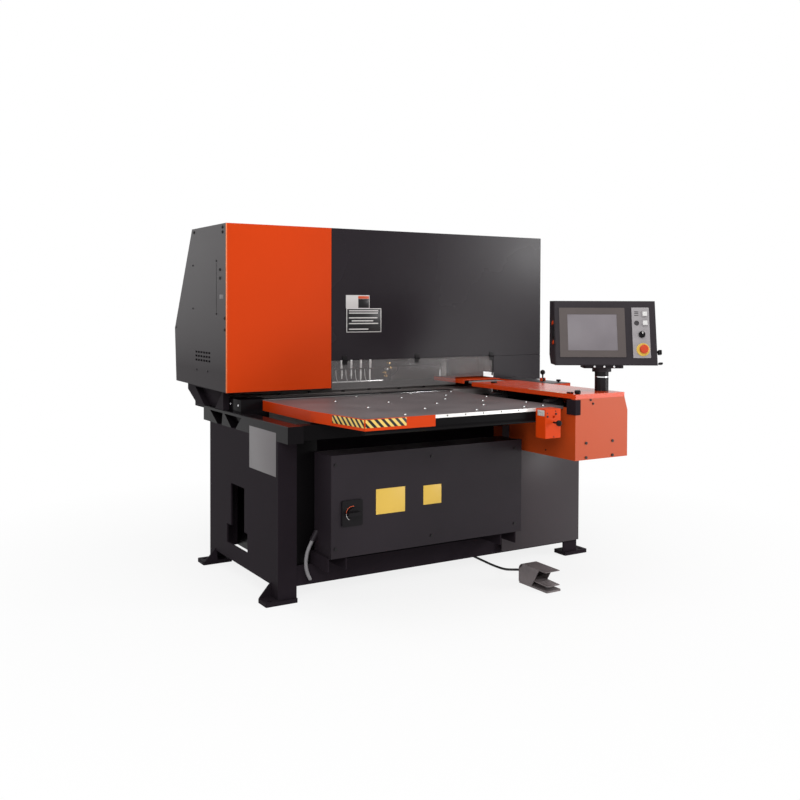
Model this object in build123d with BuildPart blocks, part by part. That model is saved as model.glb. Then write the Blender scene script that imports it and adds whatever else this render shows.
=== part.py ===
from build123d import *
import os
from math import atan2, cos, hypot, radians, sin, sqrt, tan

# Numerically controlled tapping machine for sheet metal. Millimetres, +Z up, +Y to the rear.
# The origin lies on the floor at the centre of the four anchor bolt holes.

# Stand: two folded side frames on bolted feet
base_half_width = 832.0
base_half_depth = 410.0
stand_sheet = 8.0
stand_flange = 87.0
stand_top = 692.0
leg_width = 79.0
apron_height = 69.0
foot_thick = 18.0
foot_reach = 60.0
foot_inner = 62.0
foot_outer = 26.0
foot_corner = 6.0
anchor_overhang = 34.0
anchor_setback = 12.0
anchor_x = base_half_width + anchor_overhang
anchor_y = base_half_depth - anchor_setback
anchor_radius = 11.0
rib_thick = 8.0
rib_height = 62.0
hatch_front = -35.0
hatch_back = 132.0
hatch_top_drop = 260.0
hatch_top = stand_top - hatch_top_drop
hatch_step = 232.0
hatch_bottom = 143.0
hatch_low_front = -73.0
hatch_low_back = 182.0
side_inner = base_half_width - stand_flange

# Skirt with its two outriggers, and the rear panel
skirt_bottom = 64.0
skirt_top = 151.0
skirt_lip = 40.0
skirt_front = -base_half_depth + stand_sheet
outrigger_sheet = 5.0
outrigger_width = 90.0
outrigger_reach = 150.0
outrigger_front = -base_half_depth - outrigger_reach
left_outrigger_inset = 204.0
right_outrigger_inset = 558.0
left_outrigger = -base_half_width + left_outrigger_inset
right_outrigger = base_half_width - right_outrigger_inset
rear_sheet = 4.0
panel_front = base_half_depth - stand_sheet

# Side beams with tapered pockets in their outer faces
beam_width = 72.0
beam_height = 72.0
beam_front_reach = 98.0
beam_back_reach = 93.0
beam_top = stand_top + beam_height
beam_front = -base_half_depth - beam_front_reach
beam_back = base_half_depth + beam_back_reach
beam_inner = base_half_width - beam_width
beam_edge = 3.0
pocket_depth = 40.0
pocket_height = 58.0
rear_pocket_front = 238.0
rear_pocket_back = 412.0
rear_pocket_low_front = 251.0
rear_pocket_low_back = 308.0
front_pocket_front = 2.0
front_pocket_back = 215.0
front_pocket_low_front = 73.0
front_pocket_low_back = 126.0

# Bridge
bridge_plate_thick = 32.0
bridge_inner = base_half_width - bridge_plate_thick
pedestal_height = 94.0
pedestal_slope_drop = 29.0
pedestal_top = beam_top + pedestal_height
pedestal_slope_low = pedestal_top - pedestal_slope_drop
pedestal_front = 231.0
pedestal_back = 606.0
pedestal_top_back = 742.0
arch_crown = 8.0
arch_top = pedestal_top - arch_crown
arch_top_front = 243.0
arch_top_back = 628.0
arch_low_front = 342.0
arch_low_back = 491.0
post_front = 400.0
post_back = 560.0
post_shoulder_rise = 366.0
post_shoulder = beam_top + post_shoulder_rise
girder_front = 420.0
girder_back = 600.0
girder_rise = 196.0
girder_height = 370.0
girder_bottom = beam_top + girder_rise
girder_top = girder_bottom + girder_height
rail_width = 24.0
rail_height = 24.0
rail_inset = 45.0
rail_end_gap = 10.0
rail_heights = (girder_bottom + rail_inset, girder_top - rail_inset)

# Anvil beam under the taps
anvil_front = 80.0
anvil_back = 330.0
anvil_height = 58.0
anvil_top = beam_top + anvil_height
anvil_rib_front = 130.0
anvil_rib_back = 225.0
anvil_rib_depth = 124.0
anvil_rib_bottom = beam_top - anvil_rib_depth
anvil_rib_gap = 20.0
anvil_edge = 3.0
groove_width = 24.0
groove_depth = 14.0

# Hood of sheet covers over the bridge
sheet = 2.5
hood_left_reach = 33.0
hood_right_reach = 180.0
hood_height = 792.0
hood_left = -base_half_width - hood_left_reach
hood_right = base_half_width + hood_right_reach
hood_front = 106.0
hood_bottom = pedestal_top
hood_top = hood_bottom + hood_height
hood_crest = 580.0
hood_back = 855.0
hood_knee_rise = 287.0
hood_knee = hood_bottom + hood_knee_rise
hood_tail = 832.0
hood_tail_rise = 10.0
hood_tail_height = hood_bottom + hood_tail_rise
tray_sheet = 3.0
tray_inset = 10.0
tray_tail_gap = 32.0
tray_back = hood_tail - tray_tail_gap
tray_wall_lap = 32.0
tray_wall_top = hood_tail_height + tray_wall_lap
tray_ribs = 4
tray_rib_thick = 6.0
tray_rib_pitch = 300.0
tray_rib_inset = 40.0
cover_back = hood_front + sheet
cover_lip = 22.0
orange_width = 550.0
cover_split = hood_left + orange_width
cover_seam = 1.5
front_cover_rise = 137.0
front_cover_bottom = hood_bottom + front_cover_rise
panel_width_over = 328.0
panel_left = hood_right - panel_width_over
panel_drop = 3.0
panel_bottom = hood_bottom - panel_drop
vent_front = 318.0
vent_rise = 131.0
vent_bottom = hood_bottom + vent_rise
vent_length = 26.0
vent_height = 10.0
vent_pitch = 37.0
vent_row_pitch = 20.0
vents_per_row = 6
vent_rows = 3
oil_slot_y = 234.0
oil_slot_rise = 381.0
oil_slot_length = 226.0
oil_slot_low = hood_bottom + oil_slot_rise
oil_slot_high = oil_slot_low + oil_slot_length
oil_slot_width = 6.0

# Hinged window
window_thick = 6.0
window_side_gap = 2.0
window_panel_gap = 4.0
window_left = cover_split + window_side_gap
window_right = panel_left - window_panel_gap
window_gap = 2.0
window_drop = 10.0
window_bottom = hood_bottom - window_drop
window_top = front_cover_bottom - window_gap
window_step_rise = 28.0
window_step = hood_bottom + window_step_rise
hinge_radius = 5.0
hinge_stand_off = 5.5
hinge_pin_radius = 2.5
hinge_leaf = 3.0
hinge_leaf_height = 17.0
hinge_leaf_gap = 5.0
hinge_width = 26.0
hinge_knuckle = 9.0
left_hinge_inset = 71.0
middle_hinge_share = 0.5025
right_hinge_inset = 13.0
hinge_places = (
    window_left + left_hinge_inset,
    window_left + middle_hinge_share * (window_right - window_left),
    window_right - right_hinge_inset,
)
hinge_axis_y = hood_front - hinge_stand_off
hinge_axis_z = front_cover_bottom - window_gap / 2

# Fits shared by every moving pair
running_fit = 0.05
sliding_fit = 0.3

# Turned ball knobs, shared by the gauge box and the side shelf
knob_radius = 13.5
stem_radius = 4.0
quarter_turn = 90.0
ball_band_shares = (-0.5, -0.17, 0.17, 0.5, 0.8)

# Tapping head with its four spindles
spindle_y = 230.0
first_spindle = -192.0
spindle_pitch = 55.0
spindle_count = 4
spindle_places = [first_spindle + spindle_pitch * i for i in range(spindle_count)]
head_left_margin = 70.0
head_right_margin = 70.0
head_left = spindle_places[0] - head_left_margin
head_right = spindle_places[-1] + head_right_margin
head_plate_front = 345.0
head_overlap = 20.0
head_bottom = girder_bottom - head_overlap
head_top = girder_top + head_overlap
head_nose_front = 185.0
head_nose_height = 290.0
head_nose_top = head_bottom + head_nose_height
head_edge = 12.0
head_rail_gap = 2.0
shield_reach = 122.0
shield_right = head_right + shield_reach
shield_clearance = 40.0
shield_bottom = anvil_top + shield_clearance
shield_thick = 6.0
shield_lap = 60.0
shield_round = 50.0
shield_lip = 8.0
quill_radius = 17.0
quill_length = 118.0
quill_recess = 72.0
quill_bottom = head_bottom + quill_recess
quill_top = quill_bottom + quill_length
quill_room = 60.0
quill_socket_top = quill_top + quill_room
shaft_radius = 5.0
shaft_drop = 12.0
shaft_top = quill_top - shaft_drop
shaft_collar_radius = 8.5
shaft_collar = 20.0
tap_radius = 2.4
tap_length = 14.0
tap_neck = 1.2
tap_neck_height = 3.0
short_tip_rise = 83.0
long_tip_rise = 63.0
short_tip = anvil_top + short_tip_rise
long_tip = anvil_top + long_tip_rise
tip_heights = (short_tip, short_tip, long_tip, long_tip)

# Ball table
table_left_inset = 131.0
table_right_inset = 454.0
table_left = -base_half_width + table_left_inset
table_right = base_half_width - table_right_inset
table_width = table_right - table_left
table_front = -832.0
table_anvil_gap = 21.0
table_back = anvil_front - table_anvil_gap
table_corner_inset = 51.0
table_corner_x = table_left + table_corner_inset
table_taper_y = -449.0
table_anvil_step = 3.0
table_top = anvil_top - table_anvil_step
table_thick = 12.0
table_bottom = table_top - table_thick
table_rail_thick = 4.0
table_rail_height = 47.0
table_rail_bottom = table_top - table_rail_height
table_rail_reach = 334.0
table_rail_end = table_corner_x + table_rail_reach
strip_height = 14.0
ball_first_inset = 43.0
ball_first_row = table_back - ball_first_inset
ball_row_pitch = 156.0
ball_rows = 6
even_row_shares = (0.442, 0.736, 0.965)
odd_row_shares = (0.2595, 0.5956, 0.8375)
front_row_extra_share = 0.938
cup_radius = 12.0
cup_depth = 22.0
cup_fit = 0.1
ball_radius = 9.0
ball_rise = 4.5

# Table frame
bar_width_share = 0.0556
left_bar_share = 0.0936
right_bar_share = 0.8925
bar_width = bar_width_share * table_width
left_bar = table_left + left_bar_share * table_width
right_bar = table_left + right_bar_share * table_width
nose_depth = 40.0
nose_height = 55.0
nose_bottom = table_bottom - nose_height
nose_round = 24.0
nose_overhang = 10.0
cross_inset = 18.0
cross_front = beam_front + cross_inset
cross_depth = 60.0
cross_drop = 64.0
cross_bottom = beam_top - cross_drop

# Gauge box on the table's front edge
gauge_inset = 75.0
gauge_width = 88.0
gauge_right = table_right - gauge_inset
gauge_left = gauge_right - gauge_width
gauge_reach = 63.0
gauge_front = table_front - gauge_reach
gauge_back = table_front + table_rail_thick
gauge_drop = 1.0
gauge_height = 128.0
gauge_top = table_top - gauge_drop
gauge_bottom = gauge_top - gauge_height
gauge_edge = 2.0
gauge_slot_width = 12.0
gauge_slot_height = 10.0
gauge_slot_drop = 39.0
gauge_slot_low = gauge_top - gauge_slot_drop
gauge_slot_high = gauge_slot_low + gauge_slot_height
gauge_slot_depth = 8.0
gauge_knob_inset = 47.0
gauge_knob_drop = 59.0
gauge_knob_x = gauge_left + gauge_knob_inset
gauge_knob_height = gauge_top - gauge_knob_drop
gauge_stem_reach = 34.0
gauge_stem_depth = 42.0

# Y axis: base, cover, top plates, carriage and clamps
axis_gap = 4.0
axis_width = 315.0
axis_left = table_right + axis_gap
axis_right = axis_left + axis_width
axis_reach = 69.0
axis_front = table_front - axis_reach
axis_cover_length = 601.0
axis_cover_back = axis_front + axis_cover_length
axis_cover_rise = 36.0
axis_cover_height = 275.0
axis_cover_top = table_top + axis_cover_rise
axis_bottom = axis_cover_top - axis_cover_height
axis_plate_height = 20.0
axis_top = axis_cover_top + axis_plate_height
axis_wall = 3.0
axis_lean_height = 63.0
axis_lean_low = axis_cover_top - axis_lean_height
axis_lean = 20.0
window_step_inset = 48.0
window_step_x = axis_left + window_step_inset
slot_height = 42.0
slot_inset = 29.0
slot_low = axis_cover_top - slot_height
slot_front = axis_front + slot_inset
plate_length = 789.0
plate_back = axis_front + plate_length
rear_plate_inset = 58.0
rear_plate_left = axis_left + rear_plate_inset
rear_plate_reach = 40.0
rear_plate_front = anvil_front - rear_plate_reach
rear_plate_back = anvil_back
y_base_inset = 98.0
y_base_wall_gap = 7.0
y_base_left = axis_left + y_base_inset
y_base_right = axis_right - y_base_wall_gap
y_base_rise = 26.0
y_base_height = 100.0
y_base_top = beam_top + y_base_rise
y_base_bottom = y_base_top - y_base_height
y_bracket_front = -290.0
y_bracket_back = -210.0
y_bracket_bottom = cross_bottom
y_rail_width = 20.0
y_rail_height = 14.0
y_rail_drop = 40.0
y_rail_centre = y_base_top - y_rail_drop
y_rail_inset = 16.0
y_rail_end_gap = 10.0
y_rail_front = axis_front + y_rail_inset
y_rail_back = anvil_front - y_rail_end_gap
bracket_sheet = 4.0
bracket_drop = 29.0
bracket_top_gap = 4.0
bracket_low = slot_low - bracket_drop
bracket_high = axis_cover_top - bracket_top_gap
bracket_front_leg = 26.0
bracket_side_leg = 55.0
clamp_pitch = 416.0
rear_clamp = -276.0
front_clamp = rear_clamp - clamp_pitch
clamp_places = (rear_clamp, front_clamp)
clamp_width = 40.0
carriage_back_margin = 41.0
carriage_front_margin = 43.0
carriage_front = front_clamp - carriage_front_margin
carriage_back = rear_clamp + carriage_back_margin
carriage_half_height = 25.0
carriage_bottom = y_rail_centre - carriage_half_height
carriage_top = y_rail_centre + carriage_half_height
carriage_width = 40.0
carriage_left = y_base_left - carriage_width
carriage_gap = 1.5
grip_rise = 3.5
jaw_grip = table_top + grip_rise
jaw_bed = 8.5
jaw_low_bottom = jaw_grip - jaw_bed
jaw_inset = 7.0
jaw_tip = axis_left + jaw_inset
jaw_open = 3.5
jaw_thick = 8.0
jaw_pivot_rise = 12.5
jaw_pivot_inset = 12.0
jaw_pivot_x = carriage_left + jaw_pivot_inset
jaw_pivot_z = jaw_grip + jaw_pivot_rise
jaw_pin_radius = 4.0
jaw_hub = 9.0
ear_thick = 9.0
ear_gap = 0.5
ear_half_width = 14.0
ear_left = jaw_pivot_x - ear_half_width
ear_right = jaw_pivot_x + ear_half_width
ear_rise = 11.0
ear_top = jaw_pivot_z + ear_rise

# Clamping knob and its block on the front plate
stop_knob_inset = 30.0
stop_knob_setback = 21.0
stop_knob_x = axis_left + stop_knob_inset
stop_knob_y = axis_front + stop_knob_setback
stud_radius = 4.0
stud_height = 12.0
stop_knob_radius = 14.0
stop_knob_height = 18.0
stop_knob_edge = 4.0
stop_block_inset = 14.0
stop_block_setback = 53.0
stop_block_x = axis_left + stop_block_inset
stop_block_y = axis_front + stop_block_setback
stop_block_width = 18.0
stop_block_depth = 26.0
stop_block_height = 8.0

# Side shelf with its ball lever
shelf_gap = 5.0
shelf_overhang = 23.0
shelf_left = axis_right + shelf_gap
shelf_right = base_half_width + shelf_overhang
shelf_front = -345.0
shelf_back = 98.0
shelf_rise = 105.0
shelf_top = beam_top + shelf_rise
shelf_depth = 26.0
shelf_sheet = 3.0
shelf_corner = 24.0
shelf_leg = 44.0
shelf_leg_front = -300.0
shelf_leg_back = 20.0
shelf_lever_inset = 60.0
shelf_lever_x = shelf_right - shelf_lever_inset
shelf_lever_y = -179.0
shelf_ear = 5.0
shelf_ear_width = 18.0
shelf_hub = 14.0
shelf_hub_radius = 8.0
shelf_pin_radius = 3.0
shelf_axis_rise = 11.0
shelf_axis = shelf_top + shelf_axis_rise
shelf_lever_length = 37.0
shelf_ball_height = shelf_axis + shelf_lever_length

# Operator's pendant on its post
post_inset = 57.0
post_setback = 111.0
post_x = axis_right - post_inset
post_y = axis_front + post_setback
post_radius = 32.0
post_rise = 88.0
post_top = axis_top + post_rise
post_groove_drop = 26.0
post_groove_height = post_top - post_groove_drop
post_groove = 5.0
post_groove_depth = 1.5
spigot_radius = 20.0
spigot_height = 22.0
pendant_yaw = 31.3
swivel_gap = 0.4
collar_radius = 44.0
collar_height = 18.0
flange_width = 183.0
flange_depth = 110.0
flange_height = 17.0
flange_corner = 14.0
pendant_width = 466.0
pendant_height = 294.0
pendant_bottom = post_top + swivel_gap + collar_height + flange_height
pendant_top = pendant_bottom + pendant_height
pendant_front_low = -108.0
pendant_back = 75.0
pendant_lean = 63.0
pendant_chamfer = 42.0
front_thick = 4.0
front_corner = 8.0
front_inset = 3.0
bezel_width = 301.0
bezel_height = 230.0
bezel_thick = 4.0
bezel_corner = 4.0
bezel_x = -61.0
bezel_y = 152.0
screen_width = 227.0
screen_height = 168.0
screen_depth = 1.5
key_plate_width = 80.0
key_plate_height = 235.0
key_plate_thick = 2.0
key_plate_x = 162.0
key_plate_y = 151.5
key_x = 180.0
upper_key_y = 238.0
lower_key_y = 196.0
key_places = (upper_key_y, lower_key_y)
key_size = 20.0
key_frame = 3.0
key_frame_height = 6.0
key_height = 8.0
key_travel = 3.0
selector_x = 164.0
selector_y = 142.0
selector_radius = 15.0
selector_height = 10.0
selector_bar = 7.0
selector_bar_height = 10.0
selector_shaft_radius = 4.0
stop_x = 167.0
stop_y = 72.0
stop_ring_radius = 29.0
stop_ring = 5.0
stop_stem_radius = 11.0
stop_stem = 9.0
stop_cap_radius = 20.0
stop_cap = 15.0
stop_cap_round = 4.0
stop_travel = 4.0
hook_reach = 14.0
hook_width = 10.0
hook_height = 30.0
hook_z = 28.0
yaw = radians(pendant_yaw)
lean = atan2(pendant_lean, pendant_height)
face_height = hypot(pendant_lean, pendant_height)
panel_width = Vector(cos(yaw), -sin(yaw), 0)
panel_back = Vector(sin(yaw), cos(yaw), 0)
panel_normal = Vector(0, 0, sin(lean)) - panel_back * cos(lean)

# Electrical cabinet and its main switch
cabinet_left_margin = 37.0
cabinet_right_margin = 65.0
cabinet_left = left_outrigger - cabinet_left_margin
cabinet_right = right_outrigger + cabinet_right_margin
cabinet_gap = 1.0
cabinet_overhang = 15.0
cabinet_back = -base_half_depth - cabinet_gap
cabinet_front = outrigger_front - cabinet_overhang
cabinet_rise = 57.0
cabinet_height = 433.0
cabinet_bottom = skirt_top + cabinet_rise
cabinet_top = cabinet_bottom + cabinet_height
cabinet_cover_depth = 24.0
cabinet_fit = 0.2
cabinet_edge = 3.0
switch_inset = 97.0
switch_rise = 185.0
switch_x = cabinet_left + switch_inset
switch_z = cabinet_bottom + switch_rise
switch_width = 98.0
switch_height = 110.0
switch_thick = 8.0
switch_corner = 8.0
switch_shaft_radius = 8.0
switch_hub_radius = 24.0
switch_hub = 10.0
switch_bar_length = 66.0
switch_bar_width = 16.0
switch_bar_height = 18.0

# Button-head screws
screw_radius = 6.5
screw_height = 4.0
cabinet_screw_inset = 20.0
cabinet_screw_rise = 40.0
middle_screw_share = 0.4975
axis_screw_inset = 63.0
axis_screw_pitch = 159.0
axis_screw_left = axis_left + axis_screw_inset
axis_screw_right = axis_screw_left + axis_screw_pitch
axis_screw_rise = 11.0
axis_screw_step = 65.0
axis_screw_low = axis_bottom + axis_screw_rise
axis_screw_mid = axis_screw_low + axis_screw_step

# Foot switch
foot_panel_gap = 1071.0
foot_length = 199.0
foot_x = 293.0
foot_width = 82.0
foot_back = panel_front - foot_panel_gap
foot_front = foot_back - foot_length
foot_base_thick = 8.0
foot_base_corner = 6.0
foot_wall = 3.0
guard_shoulder = 58.0
guard_round = 30.0
guard_top = 92.0
guard_tip_inset = 10.0
guard_tip = foot_front + guard_tip_inset
guard_tip_height = 90.0
cheek_low_inset = 106.0
cheek_high_inset = 56.0
cheek_front_low = foot_front + cheek_low_inset
cheek_front_high = foot_front + cheek_high_inset
pedal_axis_inset = 126.0
pedal_axis_y = foot_front + pedal_axis_inset
pedal_axis_z = 30.0
pedal_pin_radius = 3.0
pedal_barrel = 6.5
pedal_tip_inset = 4.0
pedal_tip = foot_front + pedal_tip_inset
pedal_thick = 4.0
pedal_drop = 5.0
pedal_side_gap = 2.5
foot_gland_radius = 10.0

# Flexible conduit, laid from the cabinet's left end down to the skirt, as measured from the
# cabinet's rear left edge, and foot-switch cord, as measured from the rear panel at the switch
conduit_radius = 8.0
conduit_gland_radius = 13.0
conduit_gland = 48.0
conduit_clip = 14.0
conduit_lay = (
    (-17.0, -19.0, 258.0),
    (-35.0, -18.0, 226.0),
    (-44.0, -16.0, 188.0),
    (-43.0, -12.0, 148.0),
    (-33.0, -7.0, 114.0),
    (-18.0, -3.0, 88.0),
)
conduit_route = [(cabinet_left + x, cabinet_back + y, z) for x, y, z in conduit_lay]
cord_radius = 5.5
cord_lay = (
    (7.0, -1055.0, 40.0),
    (7.0, -1020.0, 40.0),
    (11.0, -962.0, 25.0),
    (19.0, -889.0, 7.5),
    (17.0, -804.0, 6.0),
    (25.0, -702.0, 6.5),
    (37.0, -582.0, 6.0),
    (31.0, -458.0, 6.5),
    (16.0, -336.0, 6.0),
    (15.0, -222.0, 8.5),
    (23.0, -140.0, 29.0),
    (27.0, -86.0, 62.0),
    (27.0, -42.0, 82.0),
    (27.0, -14.0, 82.0),
)
cord_route = [(foot_x + x, panel_front + y, z) for x, y, z in cord_lay]
bend_share = 0.45

os.makedirs("parts", exist_ok=True)


def level(height):
    """Horizontal plane at a height above the floor."""
    return Plane.XY.offset(height)


def across(station):
    """Upright plane square to the machine's width; its axes are depth and height."""
    return Plane.YZ.offset(station)


def facing(depth):
    """Upright plane that faces the operator; its axes are width and height."""
    return Plane.XZ.offset(-depth)


def span(x_low, x_high, y_low, y_high, mode=Mode.ADD):
    """Rectangle of the open sketch between two opposite corners."""
    with Locations(((x_low + x_high) / 2, (y_low + y_high) / 2)):
        Rectangle(x_high - x_low, y_high - y_low, mode=mode)


def outline(*points, mode=Mode.ADD):
    """Straight-sided area of the open sketch."""
    with BuildLine() as border:
        Polyline(*points, close=True)
    make_face(border.edges(), mode=mode)


def ball_profile(x, z, radius, stem):
    """Half outline of a turned ball knob on its stem, in short straight bands."""
    neck = z - sqrt(radius**2 - stem_radius**2)
    bands = [radians(quarter_turn * share) for share in ball_band_shares]
    points = [(x + radius * cos(band), z + radius * sin(band)) for band in bands]
    outline((x, stem), (x + stem_radius, stem), (x + stem_radius, neck), *points, (x, z + radius))


def save(piece, name):
    """Name a finished piece and write it out."""
    piece.part.label = name
    export_step(piece.part, f"parts/{name}.step")


def run_plane(place, onward):
    """Plane square to a cord's end run, facing along it into the cord."""
    return Plane(origin=place, z_dir=Vector(*onward) - Vector(*place))


def cord_path(points):
    """Straight runs joined by the largest arcs that they leave room for."""
    places = [Vector(*point) for point in points]
    radii = []
    for before, here, after in zip(places, places[1:], places[2:]):
        run_in = here - before
        run_out = after - here
        shorter = min(run_in.length, run_out.length)
        half_turn = radians(run_in.get_angle(run_out)) / 2
        radii.append(bend_share * shorter / tan(half_turn))
    print("bend radii", [round(radius) for radius in radii])
    return FilletPolyline(*points, radius=radii)


# Side frame: folded web with front and rear flanges, a hatch, and ribbed feet
with BuildPart() as left_stand:
    with BuildSketch(across(-base_half_width)):
        span(-base_half_depth, base_half_depth, apron_height, stand_top)
        for side in (-1, 1):
            inner = side * (base_half_depth - leg_width)
            outer = side * base_half_depth
            span(min(inner, outer), max(inner, outer), foot_thick, apron_height)
        span(hatch_front, hatch_back, hatch_step, hatch_top, mode=Mode.SUBTRACT)
        span(hatch_low_front, hatch_low_back, hatch_bottom, hatch_step, mode=Mode.SUBTRACT)
    extrude(amount=stand_sheet)
    with BuildSketch(level(foot_thick)):
        for side in (-1, 1):
            inner = side * (base_half_depth - stand_sheet)
            outer = side * base_half_depth
            span(-base_half_width, -side_inner, min(inner, outer), max(inner, outer))
    extrude(amount=stand_top - foot_thick)
    with BuildSketch(level(stand_top - stand_sheet)):
        span(-base_half_width, -side_inner, -base_half_depth, base_half_depth)
    extrude(amount=stand_sheet)
    with BuildSketch(level(0)) as left_feet:
        for side in (-1, 1):
            inner = side * (anchor_y - foot_inner)
            outer = side * (anchor_y + foot_outer)
            span(-base_half_width - foot_reach, -side_inner, min(inner, outer), max(inner, outer))
        fillet(left_feet.vertices(), foot_corner)
        with Locations((-anchor_x, -anchor_y), (-anchor_x, anchor_y)):
            Circle(anchor_radius, mode=Mode.SUBTRACT)
    extrude(amount=foot_thick)
    for side in (-1, 1):
        with BuildSketch(facing(side * (base_half_depth - leg_width + rib_thick / 2) + rib_thick / 2)):
            outline(
                (-base_half_width, foot_thick),
                (-base_half_width - foot_reach + foot_corner, foot_thick),
                (-base_half_width, foot_thick + rib_height),
            )
        extrude(amount=rib_thick)
save(left_stand, "left_stand")

# Right side frame: the left one mirrored, with its web closed
with BuildPart() as right_stand:
    mirror(left_stand.part, about=Plane.YZ)
    with BuildSketch(across(base_half_width - stand_sheet)):
        span(hatch_front, hatch_back, hatch_step, hatch_top)
        span(hatch_low_front, hatch_low_back, hatch_bottom, hatch_step)
    extrude(amount=stand_sheet)
save(right_stand, "right_stand")

# Skirt: folded cross member with two outriggers that carry the electrical cabinet
with BuildPart() as front_skirt:
    with BuildSketch(facing(skirt_front + stand_sheet)):
        span(-side_inner, side_inner, skirt_bottom, skirt_top)
    extrude(amount=stand_sheet)
    with BuildSketch(level(skirt_top - stand_sheet)):
        span(-side_inner, side_inner, skirt_front, skirt_front + stand_sheet + skirt_lip)
    extrude(amount=stand_sheet)
    with BuildSketch(facing(skirt_front + stand_sheet + skirt_lip)):
        for middle in (left_outrigger, right_outrigger):
            low = middle - outrigger_width / 2
            high = middle + outrigger_width / 2
            span(low, high, skirt_top, cabinet_bottom)
            span(
                low + outrigger_sheet,
                high - outrigger_sheet,
                skirt_top,
                cabinet_bottom - outrigger_sheet,
                mode=Mode.SUBTRACT,
            )
    extrude(amount=skirt_front + stand_sheet + skirt_lip - outrigger_front)
    with BuildSketch(run_plane(conduit_route[-1], conduit_route[-2])):
        Circle(conduit_gland_radius)
    extrude(amount=-conduit_clip)
save(front_skirt, "front_skirt")

with BuildPart() as rear_panel:
    with BuildSketch(facing(panel_front + rear_sheet)):
        span(-side_inner, side_inner, skirt_bottom, stand_top)
    extrude(amount=rear_sheet)
    with BuildSketch(facing(panel_front)):
        with Locations((cord_route[-1][0], cord_route[-1][2])):
            Circle(foot_gland_radius)
    extrude(amount=panel_front - cord_route[-1][1])
save(rear_panel, "rear_panel")

# Side beams along the top of the stand, with tapered pockets on the outside
with BuildPart() as side_beams:
    with BuildSketch(level(stand_top)):
        span(-base_half_width, -beam_inner, beam_front, beam_back)
        span(beam_inner, base_half_width, beam_front, beam_back)
    extrude(amount=beam_top - stand_top)
    chamfer(side_beams.edges().filter_by(Axis.Y).group_by(Axis.Z)[-1], beam_edge)
    for station, way in ((-base_half_width, 1), (base_half_width, -1)):
        with BuildSketch(across(station)):
            outline(
                (rear_pocket_front, stand_top + pocket_height),
                (rear_pocket_back, stand_top + pocket_height),
                (rear_pocket_low_back, stand_top),
                (rear_pocket_low_front, stand_top),
            )
            outline(
                (front_pocket_front, stand_top + pocket_height),
                (front_pocket_back, stand_top + pocket_height),
                (front_pocket_low_back, stand_top),
                (front_pocket_low_front, stand_top),
            )
        extrude(amount=way * pocket_depth, mode=Mode.SUBTRACT)
save(side_beams, "side_beams")

# Bridge end plates: arched pedestals below, posts for the girder and the hood above
with BuildPart() as bridge_plates:
    for station in (-base_half_width, bridge_inner):
        with BuildSketch(across(station)):
            outline(
                (pedestal_front, beam_top),
                (pedestal_back, beam_top),
                (pedestal_top_back, pedestal_slope_low),
                (pedestal_top_back, post_shoulder),
                (post_back, hood_top - sheet),
                (post_front, hood_top - sheet),
                (post_front, pedestal_top),
                (pedestal_front, pedestal_top),
            )
            outline(
                (arch_low_front, beam_top),
                (arch_low_back, beam_top),
                (arch_top_back, arch_top),
                (arch_top_front, arch_top),
                mode=Mode.SUBTRACT,
            )
        extrude(amount=bridge_plate_thick)
save(bridge_plates, "bridge_plates")

with BuildPart() as bridge_beam:
    with BuildSketch(across(-bridge_inner)):
        span(girder_front, girder_back, girder_bottom, girder_top)
    extrude(amount=2 * bridge_inner)
    chamfer(bridge_beam.edges().filter_by(Axis.X).group_by(Axis.Y)[-1], head_edge)
save(bridge_beam, "bridge_beam")

# Guide rails: a pair for the head on the girder, one for the clamp carriage
with BuildPart() as guide_rails:
    with BuildSketch(facing(girder_front)):
        for height in rail_heights:
            with Locations((0, height)):
                Rectangle(2 * (bridge_inner - rail_end_gap), rail_width)
    extrude(amount=rail_height)
    with BuildSketch(across(y_base_left)):
        span(
            y_rail_front,
            y_rail_back,
            y_rail_centre - y_rail_width / 2,
            y_rail_centre + y_rail_width / 2,
        )
    extrude(amount=-y_rail_height)
save(guide_rails, "guide_rails")

# Anvil: the lower beam, with a relief groove along the line of the taps and a ribbed tray behind it
with BuildPart() as anvil_beam:
    with BuildSketch(level(beam_top)):
        span(-bridge_inner, bridge_inner, anvil_front, anvil_back)
    extrude(amount=anvil_top - beam_top)
    chamfer(anvil_beam.edges().filter_by(Axis.X).group_by(Axis.Z)[-1].sort_by(Axis.Y)[0], anvil_edge)
    with BuildSketch(level(anvil_top)):
        span(-bridge_inner, bridge_inner, spindle_y - groove_width / 2, spindle_y + groove_width / 2)
    extrude(amount=-groove_depth, mode=Mode.SUBTRACT)
    with BuildSketch(level(anvil_rib_bottom)):
        rib_end = beam_inner - anvil_rib_gap
        span(-rib_end, rib_end, anvil_rib_front, anvil_rib_back)
    extrude(amount=beam_top - anvil_rib_bottom)
    with BuildSketch(across(tray_inset - bridge_inner)):
        outline(
            (anvil_back, anvil_top - tray_sheet),
            (tray_back, anvil_top - tray_sheet),
            (tray_back, tray_wall_top),
            (tray_back - tray_sheet, tray_wall_top),
            (tray_back - tray_sheet, anvil_top),
            (anvil_back, anvil_top),
        )
    extrude(amount=2 * (bridge_inner - tray_inset))
    for index in range(tray_ribs):
        with BuildSketch(across((index - (tray_ribs - 1) / 2) * tray_rib_pitch)):
            outline(
                (anvil_back, beam_top),
                (tray_back - tray_rib_inset, anvil_top - tray_sheet),
                (anvil_back, anvil_top - tray_sheet),
            )
        extrude(amount=tray_rib_thick)
save(anvil_beam, "anvil_beam")

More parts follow.
